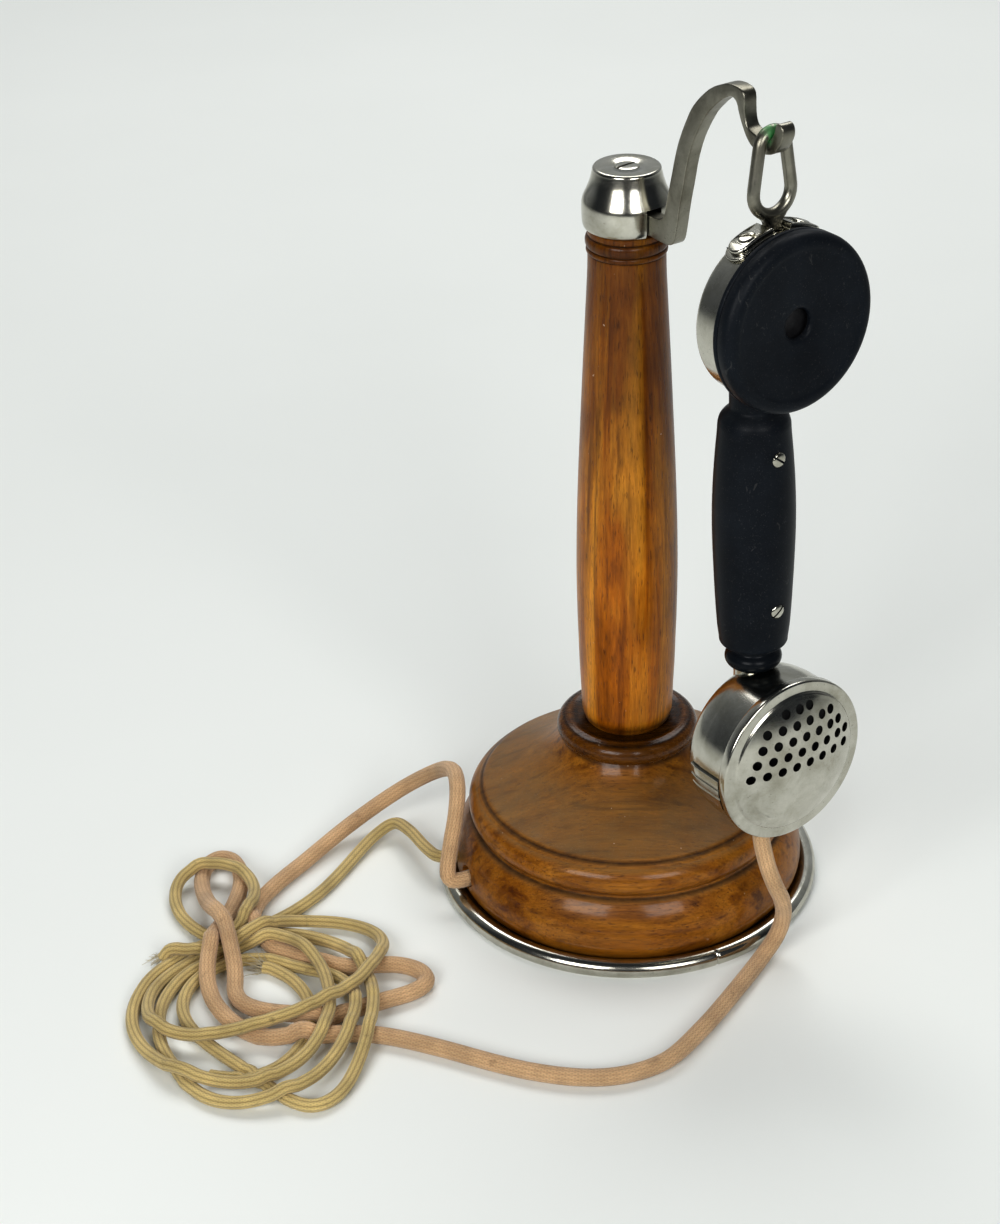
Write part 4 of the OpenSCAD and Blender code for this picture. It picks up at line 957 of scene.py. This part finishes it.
def braid(name, color, groove, lobes, sharp, threads, pitch, depth):
    """Woven cotton sleeve, drawn along the cord's own map: diagonal threads and lengthwise ribs."""
    s = Shader(name)
    uv = s.add("ShaderNodeSeparateXYZ", {0: s.add("ShaderNodeUVMap", {}, uv_map="cord_uv").outputs[0]})
    u, v = uv.outputs[0], uv.outputs[1]
    a = s.math("MULTIPLY", u, threads * 2 * math.pi)
    b = s.math("MULTIPLY", v, 2 * math.pi / pitch)
    one, two = s.math("SINE", s.math("ADD", a, b)), s.math("SINE", s.math("SUBTRACT", a, b))
    plait = s.math("MULTIPLY", s.math("ADD", s.math("MAXIMUM", one, two), 1.0), 0.5)
    rib = s.math("ABSOLUTE", s.math("COSINE", s.math("MULTIPLY", u, lobes * math.pi)))
    valley_shade = s.math("SUBTRACT", 1.0, s.math("POWER", rib, sharp), True)
    mottle = s.noise(0.09, detail=5)
    tint = s.mix(s.ramp(mottle, (0.3, 0.0), (0.72, 1.0)), tuple(c * 0.78 for c in color),
                 tuple(c * 1.16 for c in color))
    tint = s.mix(0.55, tint, s.ramp(plait, (0.1, 0.62), (0.9, 1.12)), "MULTIPLY")
    # Painted shade: the valleys between the lengthwise ribs are darkened towards the groove colour
    tint = s.mix(s.math("MULTIPLY", valley_shade, 0.8), tint, groove)
    fuzz = s.noise(3.2, detail=3, rough=0.7)
    tint = s.mix(0.35, tint, s.ramp(fuzz, (0.3, 0.7), (0.7, 1.2)), "MULTIPLY")
    soil = s.ramp(s.noise(0.22, detail=3), (0.62, 0.0), (0.8, 0.5))
    tint = s.mix(soil, tint, tuple(c * 0.45 for c in groove))
    height = s.math("ADD", s.math("MULTIPLY", plait, 0.7), s.math("MULTIPLY", fuzz, 0.5))
    s.set(Base_Color=tint, Roughness=0.86, Normal=s.bump(height, depth), Sheen_Weight=0.25,
          Sheen_Roughness=0.5, Specular_IOR_Level=0.2)
    return s.mat


def soft(name, color, dark, scale, rough=0.85, metallic=0.0):
    """A plain inner material with an uneven tone and a little texture."""
    s = Shader(name)
    tone = s.noise(scale, detail=5)
    s.set(Base_Color=s.mix(s.ramp(tone, (0.3, 0.0), (0.7, 1.0)), dark, color), Roughness=rough,
          Metallic=metallic, Normal=s.bump(tone, 0.05))
    return s.mat


NICKEL, NICKEL_DIM = (0.56, 0.545, 0.48), (0.27, 0.255, 0.19)
looks = {
    "nickel": metal("nickel", NICKEL, NICKEL_DIM, 0.13, 0.75),
    "dark_nickel": metal("dark_nickel", (0.27, 0.26, 0.215), (0.12, 0.11, 0.08), 0.27, 0.9, green=True),
    "steel": metal("steel", (0.42, 0.42, 0.42), (0.2, 0.18, 0.16), 0.34),
    # The lists of three-number tuples in the wood looks are bands of painted shade in grooves and joints:
    # height, half width, strength
    "base_wood": wood("base_wood", (0.07, 1, 1), (0.10, 0.025, 0.001), (0.26, 0.090, 0.005),
                      (0.40, 0.162, 0.016), 0.34, 0.22, 0.85,
                      ((41.0, 0.9, 0.9), (27.2, 1.0, 0.8), (3.4, 1.6, 0.8), (30.0, 2.2, 0.35),
                       (62.9, 1.3, 0.8)), 0.16),
    "collar_wood": wood("collar_wood", (0.12, 1, 1), (0.030, 0.007, 0.001), (0.105, 0.034, 0.002),
                        (0.20, 0.074, 0.006), 0.24, 0.2, 0.0, ((64.0, 0.9, 0.9), (71.6, 0.7, 0.9)), 0.3),
    "column_wood": wood("column_wood", (1, 1, 0.07), (0.12, 0.028, 0.0006), (0.33, 0.096, 0.002),
                        (0.58, 0.245, 0.020), 0.32, 0.12, 0.0,
                        ((264.2, 0.6, 1.0), (266.4, 0.45, 0.9), (270.8, 0.5, 1.0), (73.6, 3.2, 0.75),
                         (267.5, 3.4, 0.45)), 0.36, top_tone=0.46),
    "board_wood": wood("board_wood", (0.1, 1, 1), (0.12, 0.05, 0.02), (0.3, 0.15, 0.06), (0.4, 0.22, 0.1),
                       0.5, 0.0),
    "brass": metal("brass", (0.62, 0.45, 0.19), (0.33, 0.2, 0.07), 0.25),
    "spring_brass": metal("spring_brass", (0.66, 0.5, 0.25), (0.4, 0.26, 0.1), 0.22),
    "silver_contact": metal("silver_contact", (0.78, 0.77, 0.74), (0.45, 0.42, 0.36), 0.2),
    "ebonite": hard_rubber("ebonite", (0.0028, 0.0046, 0.0075), (0.0065, 0.0095, 0.014), 0.40, 0.22),
    "green_silk": soft("green_silk", (0.06, 0.16, 0.06), (0.03, 0.08, 0.03), 1.5),
    "magnet_paint": soft("magnet_paint", (0.4, 0.05, 0.04), (0.2, 0.03, 0.02), 0.2, 0.4),
    "carbon": soft("carbon", (0.05, 0.05, 0.05), (0.015, 0.015, 0.015), 0.8, 0.6),
    "felt": soft("felt", (0.42, 0.08, 0.07), (0.25, 0.05, 0.04), 1.2, 0.95),
    "handset_cord": braid("handset_cord", (0.62, 0.41, 0.225), (0.36, 0.20, 0.10), 12, 0.35, 18, 2.2, 0.22),
    "line_cord": braid("line_cord", (0.62, 0.475, 0.20), (0.17, 0.11, 0.04), 8, 0.5, 16, 1.9, 0.22),
}
gloss = hard_rubber("ebonite_gloss", (0.0025, 0.004, 0.006), (0.006, 0.008, 0.011), 0.22, 0.08)
dull = soft("dull_steel", (0.022, 0.022, 0.024), (0.010, 0.010, 0.012), 0.6, 0.5, 0.4)
frayed = soft("frayed_cotton", (0.55, 0.5, 0.38), (0.36, 0.3, 0.18), 0.9, 0.95)


def paint(obj, mat):
    obj.data.materials.clear()
    obj.data.materials.append(mat)


for node, obj in nodes.items():
    paint(obj, looks[next(p["material_slot"] for p in frame["record"]["subparts"] if p["node"] == node)])
    shade(obj, 35)
for obj in list(bpy.context.scene.objects):
    if obj.type == "MESH" and obj.get("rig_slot"):
        paint(obj, looks[obj["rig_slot"]])
for node, obj in nodes.items():
    if "diaphragm" in node:
        paint(obj, dull)
paint(ferrule, gloss)
paint(frayed_end, frayed)
paint(frayed_branch, frayed)

# -------------------- studio
floor = mesh_from("floor", [(-5, -5, 0), (5, -5, 0), (5, 5, 0), (-5, 5, 0)], [(0, 1, 2, 3)])
paper = Shader("paper")
tone = paper.noise(0.004, detail=3)
paper.set(Base_Color=paper.mix(tone, (0.80, 0.82, 0.79), (0.845, 0.865, 0.835)), Roughness=0.75,
          Specular_IOR_Level=0.25)
paint(floor, paper.mat)


def area_light(name, place, aim, size, power):
    data = bpy.data.lights.new(name, "AREA")
    data.shape, data.size, data.size_y = "RECTANGLE", *size
    data.energy = power
    obj = bpy.data.objects.new(name, data)
    bpy.context.scene.collection.objects.link(obj)
    obj.location = place
    obj.rotation_euler = (Vector(aim) - Vector(place)).to_track_quat("-Z", "Y").to_euler()


area_light("left_box", (-0.62, -1.2, 0.86), (0, 0, 0.2), (0.72, 0.6), 12.8)
area_light("right_box", (0.56, -1.22, 0.86), (0, 0, 0.2), (0.6, 0.6), 9.6)
area_light("top_box", (0.0, 1.15, 1.7), (0, 0.75, 0), (1.9, 1.0), 27)
world = bpy.data.worlds.new("world")
bpy.context.scene.world = world
world.use_nodes = True
tree = world.node_tree
way, split, dim = (tree.nodes.new("ShaderNode" + kind) for kind in ("TexCoord", "SeparateXYZ", "ValToRGB"))
tree.links.new(way.outputs["Generated"], split.inputs[0])
tree.links.new(split.outputs[1], dim.inputs[0])
tree.links.new(dim.outputs[0], tree.nodes["Background"].inputs["Color"])
# Dark behind the camera, pale ahead of it
SKY = ((0.0, (0.03, 0.034, 0.04, 1)), (0.8, (0.42, 0.44, 0.45, 1)))
for mark, (spot, color) in zip(dim.color_ramp.elements, SKY):
    mark.position, mark.color = spot, color
bpy.context.scene.view_settings.view_transform = "Standard"
bpy.context.scene.view_settings.gamma = 0.88
